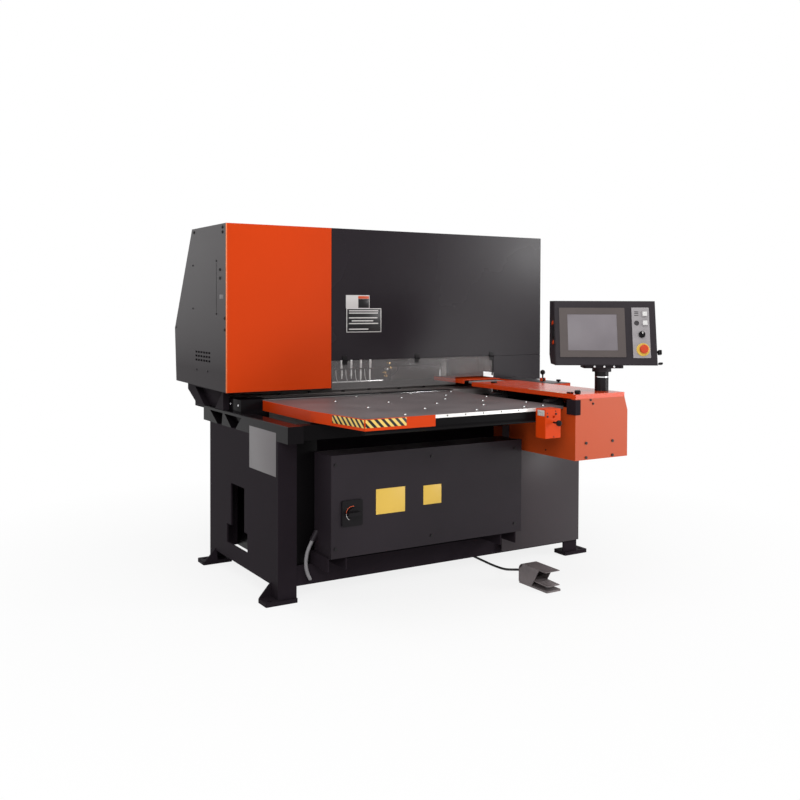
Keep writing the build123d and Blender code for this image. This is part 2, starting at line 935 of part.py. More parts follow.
# Hood ends: flat sheets with ventilation slots and a thin upright slot
with BuildPart() as hood_sides:
    for station in (hood_left, hood_right - sheet):
        with BuildSketch(across(station)):
            outline(
                (cover_back, hood_bottom),
                (cover_back, hood_top),
                (hood_crest, hood_top),
                (hood_back, hood_knee),
                (hood_tail, hood_tail_height),
            )
            for row in range(vent_rows):
                for column in range(vents_per_row):
                    left = vent_front + column * vent_pitch
                    low = vent_bottom + row * vent_row_pitch
                    span(left, left + vent_length, low, low + vent_height, mode=Mode.SUBTRACT)
            span(
                oil_slot_y - oil_slot_width / 2,
                oil_slot_y + oil_slot_width / 2,
                oil_slot_low,
                oil_slot_high,
                mode=Mode.SUBTRACT,
            )
        extrude(amount=sheet)
save(hood_sides, "hood_sides")

# Hood shell: one sheet folded over the top, down the slope and in at the rear
with BuildPart() as hood_shell:
    with BuildSketch(across(hood_left + sheet)):
        with BuildLine():
            Polyline(
                (cover_back, hood_top),
                (hood_crest, hood_top),
                (hood_back, hood_knee),
                (hood_tail, hood_tail_height),
            )
            offset(amount=sheet, side=Side.RIGHT, kind=Kind.INTERSECTION)
        make_face()
    extrude(amount=hood_right - hood_left - 2 * sheet)
save(hood_shell, "hood_shell")

# Front covers: flat sheets with a return along the lower edge
with BuildPart() as orange_cover:
    with BuildSketch(facing(cover_back)):
        span(hood_left, cover_split - cover_seam, hood_bottom, hood_top)
    extrude(amount=sheet)
    with BuildSketch(level(hood_bottom)):
        span(hood_left + sheet, cover_split - cover_seam, cover_back, cover_back + cover_lip)
    extrude(amount=sheet)
save(orange_cover, "orange_cover")

with BuildPart() as front_covers:
    with BuildSketch(facing(cover_back)):
        span(cover_split, hood_right, front_cover_bottom, hood_top)
        span(panel_left, hood_right, panel_bottom, front_cover_bottom - cover_seam)
    extrude(amount=sheet)
    with BuildSketch(level(front_cover_bottom)):
        span(cover_split, hood_right - sheet, cover_back, cover_back + cover_lip)
    extrude(amount=sheet)
    with BuildSketch(level(panel_bottom)):
        span(panel_left, hood_right - sheet, cover_back, cover_back + cover_lip)
    extrude(amount=sheet)
save(front_covers, "front_covers")

# Window hinges: fixed leaves with two knuckles and the pin, on the cover's face
knuckle_gap = hinge_width / 2 - hinge_knuckle
with BuildPart() as hinge_leaves:
    for place in hinge_places:
        with BuildSketch(facing(hood_front)):
            with Locations((place, hinge_axis_z + hinge_leaf_gap + hinge_leaf_height / 2)):
                Rectangle(hinge_width, hinge_leaf_height)
        extrude(amount=hinge_leaf)
        for side in (-1, 1):
            with BuildSketch(across(place + side * knuckle_gap)):
                with Locations((hinge_axis_y, hinge_axis_z)):
                    Circle(hinge_radius)
                span(
                    hood_front - hinge_leaf,
                    hood_front - hinge_stand_off + hinge_radius,
                    hinge_axis_z,
                    hinge_axis_z + hinge_leaf_gap,
                )
            extrude(amount=side * hinge_knuckle)
        with BuildSketch(across(place - knuckle_gap)):
            with Locations((hinge_axis_y, hinge_axis_z)):
                Circle(hinge_pin_radius)
        extrude(amount=2 * knuckle_gap)
save(hinge_leaves, "hinge_leaves")

with BuildPart() as window_leaves:
    for place in hinge_places:
        with BuildSketch(facing(hood_front)):
            with Locations((place, hinge_axis_z - hinge_leaf_gap - hinge_leaf_height / 2)):
                Rectangle(hinge_width, hinge_leaf_height)
        extrude(amount=hinge_leaf)
        with BuildSketch(across(place - knuckle_gap + sliding_fit)):
            with Locations((hinge_axis_y, hinge_axis_z)):
                Circle(hinge_radius)
            span(
                hood_front - hinge_leaf,
                hood_front - hinge_stand_off + hinge_radius,
                hinge_axis_z - hinge_leaf_gap,
                hinge_axis_z,
            )
            with Locations((hinge_axis_y, hinge_axis_z)):
                Circle(hinge_pin_radius + running_fit, mode=Mode.SUBTRACT)
        extrude(amount=2 * (knuckle_gap - sliding_fit))
save(window_leaves, "window_leaves")

# Window: clear sheet, stepped up on the right where it passes over the Y axis
with BuildPart() as window:
    with BuildSketch(facing(hood_front + window_thick)):
        outline(
            (window_left, window_bottom),
            (window_step_x, window_bottom),
            (window_step_x, window_step),
            (window_right, window_step),
            (window_right, window_top),
            (window_left, window_top),
        )
    extrude(amount=window_thick)
save(window, "window")

# Tapping head: carriage grooved for the rails, with a bored nose for the quills
with BuildPart() as head_carriage:
    with BuildSketch(across(head_left)):
        span(head_plate_front, girder_front - head_rail_gap, head_bottom, head_top)
        span(head_nose_front, head_plate_front, head_bottom, head_nose_top)
        for height in rail_heights:
            span(
                girder_front - rail_height - sliding_fit,
                girder_front,
                height - rail_width / 2 - sliding_fit,
                height + rail_width / 2 + sliding_fit,
                mode=Mode.SUBTRACT,
            )
    extrude(amount=head_right - head_left)
    chamfer(head_carriage.edges().filter_by(Axis.X).group_by(Axis.Y)[0], head_edge)
    with BuildSketch(level(head_bottom)):
        for place in spindle_places:
            with Locations((place, spindle_y)):
                Circle(quill_radius + running_fit)
    extrude(amount=quill_socket_top - head_bottom, mode=Mode.SUBTRACT)
    with BuildSketch(facing(head_plate_front)) as shield:
        span(head_left, shield_right, shield_bottom, head_bottom + shield_lap)
        fillet(shield.vertices().group_by(Axis.Z)[0].sort_by(Axis.X)[-1], shield_round)
    extrude(amount=shield_thick)
    with BuildSketch(level(shield_bottom)):
        span(
            head_left,
            shield_right - shield_round,
            head_plate_front - shield_thick - shield_lip,
            head_plate_front - shield_thick,
        )
    extrude(amount=shield_thick)
save(head_carriage, "head_carriage")

# Four quills that feed down, each with its own spindle and tap
for number, (place, tip) in enumerate(zip(spindle_places, tip_heights), start=1):
    with BuildPart() as quill:
        with BuildSketch(level(quill_bottom)):
            with Locations((place, spindle_y)):
                Circle(quill_radius)
                Circle(shaft_radius + running_fit, mode=Mode.SUBTRACT)
        extrude(amount=quill_top - quill_bottom)
        with BuildSketch(level(quill_top)):
            with Locations((place, spindle_y)):
                Circle(shaft_collar_radius + sliding_fit)
        extrude(amount=-shaft_collar - sliding_fit, mode=Mode.SUBTRACT)
    save(quill, f"quill_{number}")

    with BuildPart() as tap:
        with BuildSketch(Plane.XZ.offset(-spindle_y)):
            outline(
                (place, tip - tap_length),
                (place + tap_radius, tip - tap_length),
                (place + tap_radius, tip),
                (place + shaft_radius, tip),
                (place + shaft_radius, tip + tap_length),
                (place + shaft_radius - tap_neck, tip + tap_length),
                (place + shaft_radius - tap_neck, tip + tap_length + tap_neck_height),
                (place + shaft_radius, tip + tap_length + tap_neck_height),
                (place + shaft_radius, quill_top - shaft_collar),
                (place + shaft_collar_radius, quill_top - shaft_collar),
                (place + shaft_collar_radius, shaft_top),
                (place, shaft_top),
            )
        revolve(axis=Axis((place, spindle_y, 0), (0, 0, 1)))
    save(tap, f"tap_{number}")

# Table plate: tapered front corner, bored for the ball units
rail_line = (
    (table_left, table_back),
    (table_left, table_taper_y),
    (table_corner_x, table_front),
    (table_rail_end, table_front),
)
ball_places = []
for row in range(ball_rows):
    shares = even_row_shares if row % 2 == 0 else odd_row_shares
    for share in shares:
        ball_places.append((table_left + share * table_width, ball_first_row - row * ball_row_pitch))
front_row = ball_first_row - (ball_rows - 1) * ball_row_pitch
ball_places.append((table_left + front_row_extra_share * table_width, front_row))

with BuildPart() as table_plate:
    with BuildSketch(level(table_bottom)):
        outline(*rail_line[:3], (table_right, table_front), (table_right, table_back))
        offset(amount=-table_rail_thick, kind=Kind.INTERSECTION, mode=Mode.REPLACE)
        with Locations(*ball_places):
            Circle(cup_radius, mode=Mode.SUBTRACT)
    extrude(amount=table_thick)
save(table_plate, "table_plate")

with BuildPart() as table_rail:
    with BuildSketch(level(table_rail_bottom)):
        with BuildLine():
            Polyline(*rail_line)
            offset(amount=table_rail_thick, side=Side.LEFT, kind=Kind.INTERSECTION)
        make_face()
    extrude(amount=table_top - table_rail_bottom)
save(table_rail, "table_rail")

with BuildPart() as front_strip:
    with BuildSketch(level(table_top - strip_height)):
        span(table_rail_end, gauge_left, table_front, table_front + table_rail_thick)
    extrude(amount=strip_height)
save(front_strip, "front_strip")

# Ball units: pressed cups, each with the crown of its ball standing proud
crown = sqrt(ball_radius**2 - (ball_radius - ball_rise) ** 2)
with BuildPart() as ball_units:
    for x, y in ball_places:
        with BuildSketch(Plane.XZ.offset(-y)):
            with BuildLine():
                Polyline(
                    (x, table_top + ball_rise),
                    (x, table_top - cup_depth),
                    (x + cup_radius - cup_fit, table_top - cup_depth),
                    (x + cup_radius - cup_fit, table_top),
                    (x + crown, table_top),
                )
                RadiusArc((x + crown, table_top), (x, table_top + ball_rise), -ball_radius)
            make_face()
        revolve(axis=Axis((x, y, 0), (0, 0, 1)))
save(ball_units, "ball_units")

# Table frame: two bars bolted to the anvil, a rounded nose, and a cross beam to the left
with BuildPart() as table_underframe:
    with BuildSketch(level(beam_top)):
        for middle in (left_bar, right_bar):
            span(middle - bar_width / 2, middle + bar_width / 2, gauge_back + nose_depth, anvil_front)
    extrude(amount=table_bottom - beam_top)
    with BuildSketch(across(left_bar - bar_width / 2 - nose_overhang)) as nose:
        span(gauge_back, gauge_back + nose_depth, nose_bottom, table_bottom)
        fillet(nose.vertices().group_by(Axis.Z)[0].sort_by(Axis.Y)[0], nose_round)
    extrude(amount=right_bar - left_bar + bar_width + nose_overhang)
    with BuildSketch(level(cross_bottom)):
        span(-beam_inner, right_bar + bar_width / 2, cross_front, cross_front + cross_depth)
    extrude(amount=beam_top - cross_bottom)
save(table_underframe, "table_underframe")

# Gauge box: block with a guide channel and a slot, and its lifting knob
with BuildPart() as gauge_box:
    with BuildSketch(level(gauge_bottom)):
        span(gauge_left, gauge_right, gauge_front, gauge_back)
    extrude(amount=gauge_top - gauge_bottom)
    chamfer(gauge_box.edges().filter_by(Axis.Z), gauge_edge)
    with BuildSketch(facing(gauge_front)):
        span(
            gauge_knob_x - gauge_slot_width / 2,
            gauge_knob_x + gauge_slot_width / 2,
            gauge_slot_low,
            gauge_slot_high,
        )
    extrude(amount=-gauge_slot_depth, mode=Mode.SUBTRACT)
    with BuildSketch(facing(gauge_front)):
        with Locations((gauge_knob_x, gauge_knob_height)):
            Circle(stem_radius + running_fit)
    extrude(amount=-gauge_stem_depth - sliding_fit, mode=Mode.SUBTRACT)
save(gauge_box, "gauge_box")

gauge_knob_centre = (gauge_knob_x, gauge_front, gauge_knob_height)
with BuildPart() as gauge_knob:
    with BuildSketch(Plane(origin=gauge_knob_centre, x_dir=(1, 0, 0), z_dir=(0, 0, -1))):
        ball_profile(0, gauge_stem_reach, knob_radius, -gauge_stem_depth)
    revolve(axis=Axis(gauge_knob_centre, (0, 1, 0)))
save(gauge_knob, "gauge_knob")

# Y axis base: beam from the anvil to the front, with a bracket to the right side beam and a wall that
# carries the top plates behind the cover
with BuildPart() as y_base:
    with BuildSketch(level(y_base_bottom)):
        span(y_base_left, y_base_right, axis_front + axis_wall, anvil_front)
    extrude(amount=y_base_top - y_base_bottom)
    with BuildSketch(level(y_base_top)):
        span(
            axis_right - axis_lean - axis_wall,
            axis_right - axis_lean,
            axis_cover_back,
            rear_plate_front,
        )
    extrude(amount=axis_cover_top - y_base_top)
    with BuildSketch(level(y_bracket_bottom)):
        span(y_base_right, beam_inner, y_bracket_front, y_bracket_back)
    extrude(amount=beam_top - y_bracket_bottom)
save(y_base, "y_base")

# Y axis cover: folded box with a leaning upper edge on the right and a slot on the left
with BuildPart() as y_housing:
    with BuildSketch(facing(axis_cover_back)):
        outline(
            (axis_left, axis_bottom),
            (axis_right, axis_bottom),
            (axis_right, axis_lean_low),
            (axis_right - axis_lean, axis_cover_top),
            (axis_left, axis_cover_top),
        )
    extrude(amount=axis_cover_back - axis_front)
    with BuildSketch(facing(axis_cover_back)):
        outline(
            (axis_left + axis_wall, axis_bottom + axis_wall),
            (axis_right - axis_wall, axis_bottom + axis_wall),
            (axis_right - axis_wall, axis_lean_low),
            (axis_right - axis_wall - axis_lean, axis_cover_top),
            (axis_left + axis_wall, axis_cover_top),
        )
    extrude(amount=axis_cover_back - axis_front - axis_wall, mode=Mode.SUBTRACT)
    with BuildSketch(across(axis_left)):
        span(slot_front, axis_cover_back, slot_low, axis_cover_top)
    extrude(amount=axis_wall, mode=Mode.SUBTRACT)
save(y_housing, "y_housing")

# Top plates: inverted trays, the front one with the stud of the clamping lever
with BuildPart() as y_top_plates:
    with BuildSketch(level(axis_cover_top)):
        span(axis_left, axis_right - axis_lean, axis_front, plate_back)
    extrude(amount=axis_top - axis_cover_top)
    with BuildSketch(level(axis_cover_top)):
        span(
            axis_left + axis_wall,
            axis_right - axis_lean - axis_wall,
            axis_front + axis_wall,
            plate_back - axis_wall,
        )
    extrude(amount=axis_top - axis_cover_top - axis_wall, mode=Mode.SUBTRACT)
    with BuildSketch(level(axis_top)):
        with Locations((post_x, post_y)):
            Circle(post_radius + sliding_fit)
    extrude(amount=-axis_wall, mode=Mode.SUBTRACT)
    with BuildSketch(level(axis_top)):
        with Locations((stop_knob_x, stop_knob_y)):
            Circle(stud_radius)
    extrude(amount=stud_height)
    with BuildSketch(level(axis_top)):
        with Locations((stop_block_x, stop_block_y)):
            Rectangle(stop_block_width, stop_block_depth)
    extrude(amount=stop_block_height)
    with BuildSketch(facing(rear_plate_back)):
        outline(
            (rear_plate_left, axis_cover_top),
            (rear_plate_left + axis_wall, axis_cover_top),
            (rear_plate_left + axis_wall, axis_top - axis_wall),
            (axis_right - axis_lean - axis_wall, axis_top - axis_wall),
            (axis_right - axis_lean - axis_wall, anvil_top),
            (axis_right - axis_lean, anvil_top),
            (axis_right - axis_lean, axis_top),
            (rear_plate_left, axis_top),
        )
    extrude(amount=rear_plate_back - anvil_front - anvil_edge)
    with BuildSketch(facing(anvil_front + anvil_edge)):
        outline(
            (rear_plate_left, axis_cover_top),
            (rear_plate_left + axis_wall, axis_cover_top),
            (rear_plate_left + axis_wall, axis_top - axis_wall),
            (axis_right - axis_lean, axis_top - axis_wall),
            (axis_right - axis_lean, axis_top),
            (rear_plate_left, axis_top),
        )
    extrude(amount=anvil_front + anvil_edge - rear_plate_front)
save(y_top_plates, "y_top_plates")

with BuildPart() as slot_bracket:
    with BuildSketch(level(bracket_low)):
        span(
            axis_left - bracket_sheet,
            axis_left,
            axis_front - bracket_sheet,
            axis_front + bracket_side_leg,
        )
        span(
            axis_left - bracket_sheet,
            axis_left + bracket_front_leg,
            axis_front - bracket_sheet,
            axis_front,
        )
    extrude(amount=bracket_high - bracket_low)
save(slot_bracket, "slot_bracket")

# Clamp carriage: slide block round the rail, lower jaws, ears and pivot pins
with BuildPart() as clamp_carriage:
    with BuildSketch(facing(carriage_back)):
        span(carriage_left, y_base_left - carriage_gap, carriage_bottom, carriage_top)
        span(
            y_base_left - y_rail_height - sliding_fit,
            y_base_left,
            y_rail_centre - y_rail_width / 2 - sliding_fit,
            y_rail_centre + y_rail_width / 2 + sliding_fit,
            mode=Mode.SUBTRACT,
        )
    extrude(amount=carriage_back - carriage_front)
    for place in clamp_places:
        half = clamp_width / 2 + ear_gap
        with BuildSketch(facing(place + half + ear_thick)):
            span(carriage_left, ear_right, carriage_top, jaw_grip)
            span(jaw_tip, carriage_left, jaw_low_bottom, jaw_grip)
        extrude(amount=2 * (half + ear_thick))
        for ear_start in (place + half + ear_thick, place - half):
            with BuildSketch(facing(ear_start)) as ear:
                span(ear_left, ear_right, jaw_grip, ear_top)
                fillet(ear.vertices().group_by(Axis.Z)[-1], jaw_pin_radius)
            extrude(amount=ear_thick)
        with BuildSketch(facing(place + half)):
            with Locations((jaw_pivot_x, jaw_pivot_z)):
                Circle(jaw_pin_radius)
        extrude(amount=2 * half)
save(clamp_carriage, "clamp_carriage")

for number, place in enumerate(clamp_places, start=1):
    with BuildPart() as jaw:
        with BuildSketch(facing(place + clamp_width / 2)):
            with Locations((jaw_pivot_x, jaw_pivot_z)):
                Circle(jaw_hub)
            outline(
                (jaw_tip, jaw_grip + jaw_open),
                (jaw_pivot_x, jaw_pivot_z - jaw_hub),
                (jaw_pivot_x, jaw_pivot_z + jaw_hub),
                (jaw_tip, jaw_grip + jaw_open + jaw_thick),
            )
            with Locations((jaw_pivot_x, jaw_pivot_z)):
                Circle(jaw_pin_radius + running_fit, mode=Mode.SUBTRACT)
        extrude(amount=clamp_width)
    save(jaw, f"clamp_jaw_{number}")

# Clamping knob: turned cap on its stud, with bevelled rims
with BuildPart() as stop_knob:
    with BuildSketch(Plane.XZ.offset(-stop_knob_y)):
        outline(
            (stop_knob_x, axis_top + stud_height + sliding_fit),
            (stop_knob_x + stud_radius + running_fit, axis_top + stud_height + sliding_fit),
            (stop_knob_x + stud_radius + running_fit, axis_top + sliding_fit),
            (stop_knob_x + stop_knob_radius - stop_knob_edge, axis_top + sliding_fit),
            (stop_knob_x + stop_knob_radius, axis_top + stop_knob_edge),
            (stop_knob_x + stop_knob_radius, axis_top + stop_knob_height - stop_knob_edge),
            (stop_knob_x + stop_knob_radius - stop_knob_edge, axis_top + stop_knob_height),
            (stop_knob_x, axis_top + stop_knob_height),
        )
    revolve(axis=Axis((stop_knob_x, stop_knob_y, 0), (0, 0, 1)))
save(stop_knob, "stop_knob")

# Side shelf: shallow tray on two legs, with the ears and pin of a ball lever
with BuildPart() as shelf:
    with BuildSketch(level(shelf_top - shelf_depth)) as tray:
        span(shelf_left, shelf_right, shelf_front, shelf_back)
        fillet(tray.vertices().group_by(Axis.Y)[0], shelf_corner)
    extrude(amount=shelf_depth)
    with BuildSketch(level(shelf_top - shelf_depth)) as hollow:
        span(
            shelf_left + shelf_sheet,
            shelf_right - shelf_sheet,
            shelf_front + shelf_sheet,
            shelf_back - shelf_sheet,
        )
        fillet(hollow.vertices().group_by(Axis.Y)[0], shelf_corner - shelf_sheet)
    extrude(amount=shelf_depth - shelf_sheet, mode=Mode.SUBTRACT)
    with BuildSketch(level(beam_top)):
        for middle in (shelf_leg_front, shelf_leg_back):
            with Locations(((beam_inner + base_half_width) / 2, middle)):
                Rectangle(shelf_leg, shelf_leg)
    extrude(amount=shelf_top - shelf_sheet - beam_top)
    for side in (-1, 1):
        inner = shelf_lever_x + side * (shelf_hub / 2 + sliding_fit)
        with BuildSketch(across(inner)) as ear:
            span(
                shelf_lever_y - shelf_ear_width / 2,
                shelf_lever_y + shelf_ear_width / 2,
                shelf_top,
                shelf_axis + shelf_hub_radius,
            )
            fillet(ear.vertices().group_by(Axis.Z)[-1], shelf_hub_radius / 2)
        extrude(amount=side * shelf_ear)
    with BuildSketch(across(shelf_lever_x - shelf_hub / 2 - sliding_fit)):
        with Locations((shelf_lever_y, shelf_axis)):
            Circle(shelf_pin_radius)
    extrude(amount=shelf_hub + 2 * sliding_fit)
save(shelf, "shelf")

with BuildPart() as shelf_lever:
    with BuildSketch(across(shelf_lever_x - shelf_hub / 2)):
        with Locations((shelf_lever_y, shelf_axis)):
            Circle(shelf_hub_radius)
            Circle(shelf_pin_radius + running_fit, mode=Mode.SUBTRACT)
    extrude(amount=shelf_hub)
    with BuildSketch(Plane.XZ.offset(-shelf_lever_y)):
        stem_low = shelf_axis + shelf_hub_radius - shelf_pin_radius
        ball_profile(shelf_lever_x, shelf_ball_height, knob_radius, stem_low)
    revolve(axis=Axis((shelf_lever_x, shelf_lever_y, 0), (0, 0, 1)))
save(shelf_lever, "shelf_lever")

# Pendant post: flanged tube with a bright groove, and the spigot that the pendant turns on
with BuildPart() as pendant_post:
    with BuildSketch(Plane.XZ.offset(-post_y)):
        outline(
            (post_x, y_base_top),
            (post_x + post_radius, y_base_top),
            (post_x + post_radius, post_groove_height),
            (post_x + post_radius - post_groove_depth, post_groove_height),
            (post_x + post_radius - post_groove_depth, post_groove_height + post_groove),
            (post_x + post_radius, post_groove_height + post_groove),
            (post_x + post_radius, post_top),
            (post_x + spigot_radius, post_top),
            (post_x + spigot_radius, post_top + spigot_height),
            (post_x, post_top + spigot_height),
        )
    revolve(axis=Axis((post_x, post_y, 0), (0, 0, 1)))
save(pendant_post, "pendant_post")

# Pendant case: swivel collar and flange below a wedge-shaped housing
post_centre = Vector(post_x, post_y, 0)
case_side = Plane(origin=post_centre, x_dir=panel_back, z_dir=panel_width)
with BuildPart() as pendant_case:
    with BuildSketch(case_side.offset(-pendant_width / 2)):
        outline(
            (pendant_front_low, pendant_bottom),
            (pendant_back - pendant_chamfer, pendant_bottom),
            (pendant_back, pendant_bottom + pendant_chamfer),
            (pendant_back, pendant_top),
            (pendant_front_low + pendant_lean, pendant_top),
        )
    extrude(amount=pendant_width)
    flange_plane = Plane(origin=post_centre, x_dir=panel_width, z_dir=(0, 0, 1))
    with BuildSketch(flange_plane.offset(pendant_bottom - flange_height)) as flange:
        Rectangle(flange_width, flange_depth)
        fillet(flange.vertices(), flange_corner)
    extrude(amount=flange_height)
    with BuildSketch(flange_plane.offset(post_top + swivel_gap)):
        Circle(collar_radius)
    extrude(amount=collar_height)
    with BuildSketch(flange_plane.offset(post_top + swivel_gap)):
        Circle(spigot_radius + running_fit)
    extrude(amount=spigot_height, mode=Mode.SUBTRACT)
    for rise in (hook_z, hook_z + hook_height):
        with BuildSketch(case_side.offset(pendant_width / 2)):
            with Locations((pendant_front_low + pendant_lean, pendant_bottom + rise)):
                Rectangle(hook_width, hook_width)
        extrude(amount=hook_reach)
save(pendant_case, "pendant_case")

# Pendant front: leaning panel with the screen, the key plate and its controls
face_origin = post_centre + panel_back * pendant_front_low + Vector(0, 0, pendant_bottom)
face_plane = Plane(origin=face_origin, x_dir=panel_width, z_dir=panel_normal)
with BuildPart() as pendant_front:
    with BuildSketch(face_plane) as panel:
        with Locations((0, face_height / 2)):
            Rectangle(pendant_width - 2 * front_inset, face_height - 2 * front_inset)
        fillet(panel.vertices(), front_corner)
    extrude(amount=front_thick)
save(pendant_front, "pendant_front")

panel_plane = face_plane.offset(front_thick)
with BuildPart() as screen:
    with BuildSketch(panel_plane) as bezel:
        with Locations((bezel_x, bezel_y)):
            Rectangle(bezel_width, bezel_height)
        fillet(bezel.vertices(), bezel_corner)
    extrude(amount=bezel_thick)
    with BuildSketch(panel_plane.offset(bezel_thick)):
        with Locations((bezel_x, bezel_y)):
            Rectangle(screen_width, screen_height)
    extrude(amount=-screen_depth, mode=Mode.SUBTRACT)
save(screen, "screen")

key_plane = panel_plane.offset(key_plate_thick)
with BuildPart() as button_plate:
    with BuildSketch(panel_plane):
        with Locations((key_plate_x, key_plate_y)):
            Rectangle(key_plate_width, key_plate_height)
        with Locations((selector_x, selector_y)):
            Circle(selector_shaft_radius + running_fit, mode=Mode.SUBTRACT)
    extrude(amount=key_plate_thick)
    with BuildSketch(key_plane):
        for height in key_places:
            with Locations((key_x, height)):
                Rectangle(key_size + 2 * key_frame, key_size + 2 * key_frame)
                Rectangle(key_size + 2 * sliding_fit, key_size + 2 * sliding_fit, mode=Mode.SUBTRACT)
    extrude(amount=key_frame_height)
    with BuildSketch(key_plane):
        with Locations((stop_x, stop_y)):
            Circle(stop_ring_radius)
            Circle(stop_stem_radius + running_fit, mode=Mode.SUBTRACT)
    extrude(amount=stop_ring)
save(button_plate, "button_plate")

for number, height in enumerate(key_places, start=1):
    with BuildPart() as key:
        with BuildSketch(key_plane.offset(key_travel + sliding_fit)):
            with Locations((key_x, height)):
                Rectangle(key_size, key_size)
        extrude(amount=key_height)
    save(key, f"button_{number}")

with BuildPart() as selector_knob:
    with BuildSketch(key_plane.offset(sliding_fit)):
        with Locations((selector_x, selector_y)):
            Circle(selector_radius)
    extrude(amount=selector_height)
    with BuildSketch(key_plane.offset(sliding_fit + selector_height)):
        with Locations((selector_x, selector_y)):
            Rectangle(selector_bar, 2 * selector_radius - selector_bar)
    extrude(amount=selector_bar_height)
    with BuildSketch(key_plane.offset(sliding_fit)):
        with Locations((selector_x, selector_y)):
            Circle(selector_shaft_radius)
    extrude(amount=-key_plate_thick)
save(selector_knob, "selector_knob")

stop_centre = key_plane.from_local_coords(Vector(stop_x, stop_y, 0))
with BuildPart() as e_stop_cap:
    with BuildSketch(Plane(origin=stop_centre, x_dir=panel_width, z_dir=-key_plane.y_dir)):
        outline(
            (0, stop_travel + sliding_fit),
            (stop_stem_radius, stop_travel + sliding_fit),
            (stop_stem_radius, stop_ring + stop_stem),
            (stop_cap_radius - stop_cap_round, stop_ring + stop_stem),
            (stop_cap_radius, stop_ring + stop_stem + stop_cap_round),
            (stop_cap_radius, stop_ring + stop_stem + stop_cap - stop_cap_round),
            (stop_cap_radius - stop_cap_round, stop_ring + stop_stem + stop_cap),
            (0, stop_ring + stop_stem + stop_cap),
        )
    revolve(axis=Axis(stop_centre, panel_normal))
save(e_stop_cap, "e_stop_cap")

# Cabinet: closed box with a screwed tray cover and a rotary main switch
with BuildPart() as cabinet_box:
    with BuildSketch(level(cabinet_bottom)):
        span(
            cabinet_left + cabinet_edge,
            cabinet_right - cabinet_edge,
            cabinet_front + cabinet_edge,
            cabinet_back,
        )
    extrude(amount=cabinet_top - cabinet_bottom - cabinet_edge)
    with BuildSketch(run_plane(conduit_route[0], conduit_route[1])):
        Circle(conduit_gland_radius)
    extrude(amount=-conduit_gland)
save(cabinet_box, "cabinet_box")

with BuildPart() as cabinet_cover:
    with BuildSketch(facing(cabinet_front + cabinet_cover_depth)):
        span(cabinet_left, cabinet_right, cabinet_bottom, cabinet_top)
    extrude(amount=cabinet_cover_depth)
    with BuildSketch(facing(cabinet_front + cabinet_cover_depth)):
        span(
            cabinet_left + cabinet_edge - cabinet_fit,
            cabinet_right - cabinet_edge + cabinet_fit,
            cabinet_bottom,
            cabinet_top - cabinet_edge + cabinet_fit,
        )
    extrude(amount=cabinet_cover_depth - cabinet_edge, mode=Mode.SUBTRACT)
save(cabinet_cover, "cabinet_cover")

with BuildPart() as switch_plate:
    with BuildSketch(facing(cabinet_front)) as plate:
        with Locations((switch_x, switch_z)):
            Rectangle(switch_width, switch_height)
        fillet(plate.vertices(), switch_corner)
        with Locations((switch_x, switch_z)):
            Circle(switch_shaft_radius + running_fit, mode=Mode.SUBTRACT)
    extrude(amount=switch_thick)
save(switch_plate, "switch_plate")

with BuildPart() as switch_handle:
    with BuildSketch(facing(cabinet_front - sliding_fit)):
        with Locations((switch_x, switch_z)):
            Circle(switch_shaft_radius)
    extrude(amount=switch_thick)
    with BuildSketch(facing(cabinet_front - switch_thick - sliding_fit)):
        with Locations((switch_x, switch_z)):
            Circle(switch_hub_radius)
    extrude(amount=switch_hub)
    with BuildSketch(facing(cabinet_front - switch_thick - sliding_fit - switch_hub)):
        with Locations((switch_x, switch_z)):
            SlotOverall(switch_bar_length, switch_bar_width)
    extrude(amount=switch_bar_height)
save(switch_handle, "switch_handle")

# Screw heads on the cabinet cover and on the Y axis cover
cabinet_screw_left = cabinet_left + cabinet_screw_inset
cabinet_screw_right = cabinet_right - cabinet_screw_inset - cabinet_screw_inset
cabinet_screw_middle = cabinet_left + middle_screw_share * (cabinet_right - cabinet_left)
with BuildPart() as cover_screws:
    with BuildSketch(facing(cabinet_front)):
        for place in (cabinet_screw_left, cabinet_screw_middle, cabinet_screw_right):
            for height in (cabinet_bottom + cabinet_screw_rise, cabinet_top - cabinet_screw_rise):
                with Locations((place, height)):
                    Circle(screw_radius)
    extrude(amount=screw_height)
    with BuildSketch(facing(axis_front)):
        for place in (axis_screw_left, axis_screw_right):
            for height in (axis_screw_low, axis_screw_mid):
                with Locations((place, height)):
                    Circle(screw_radius)
    extrude(amount=screw_height)
save(cover_screws, "cover_screws")

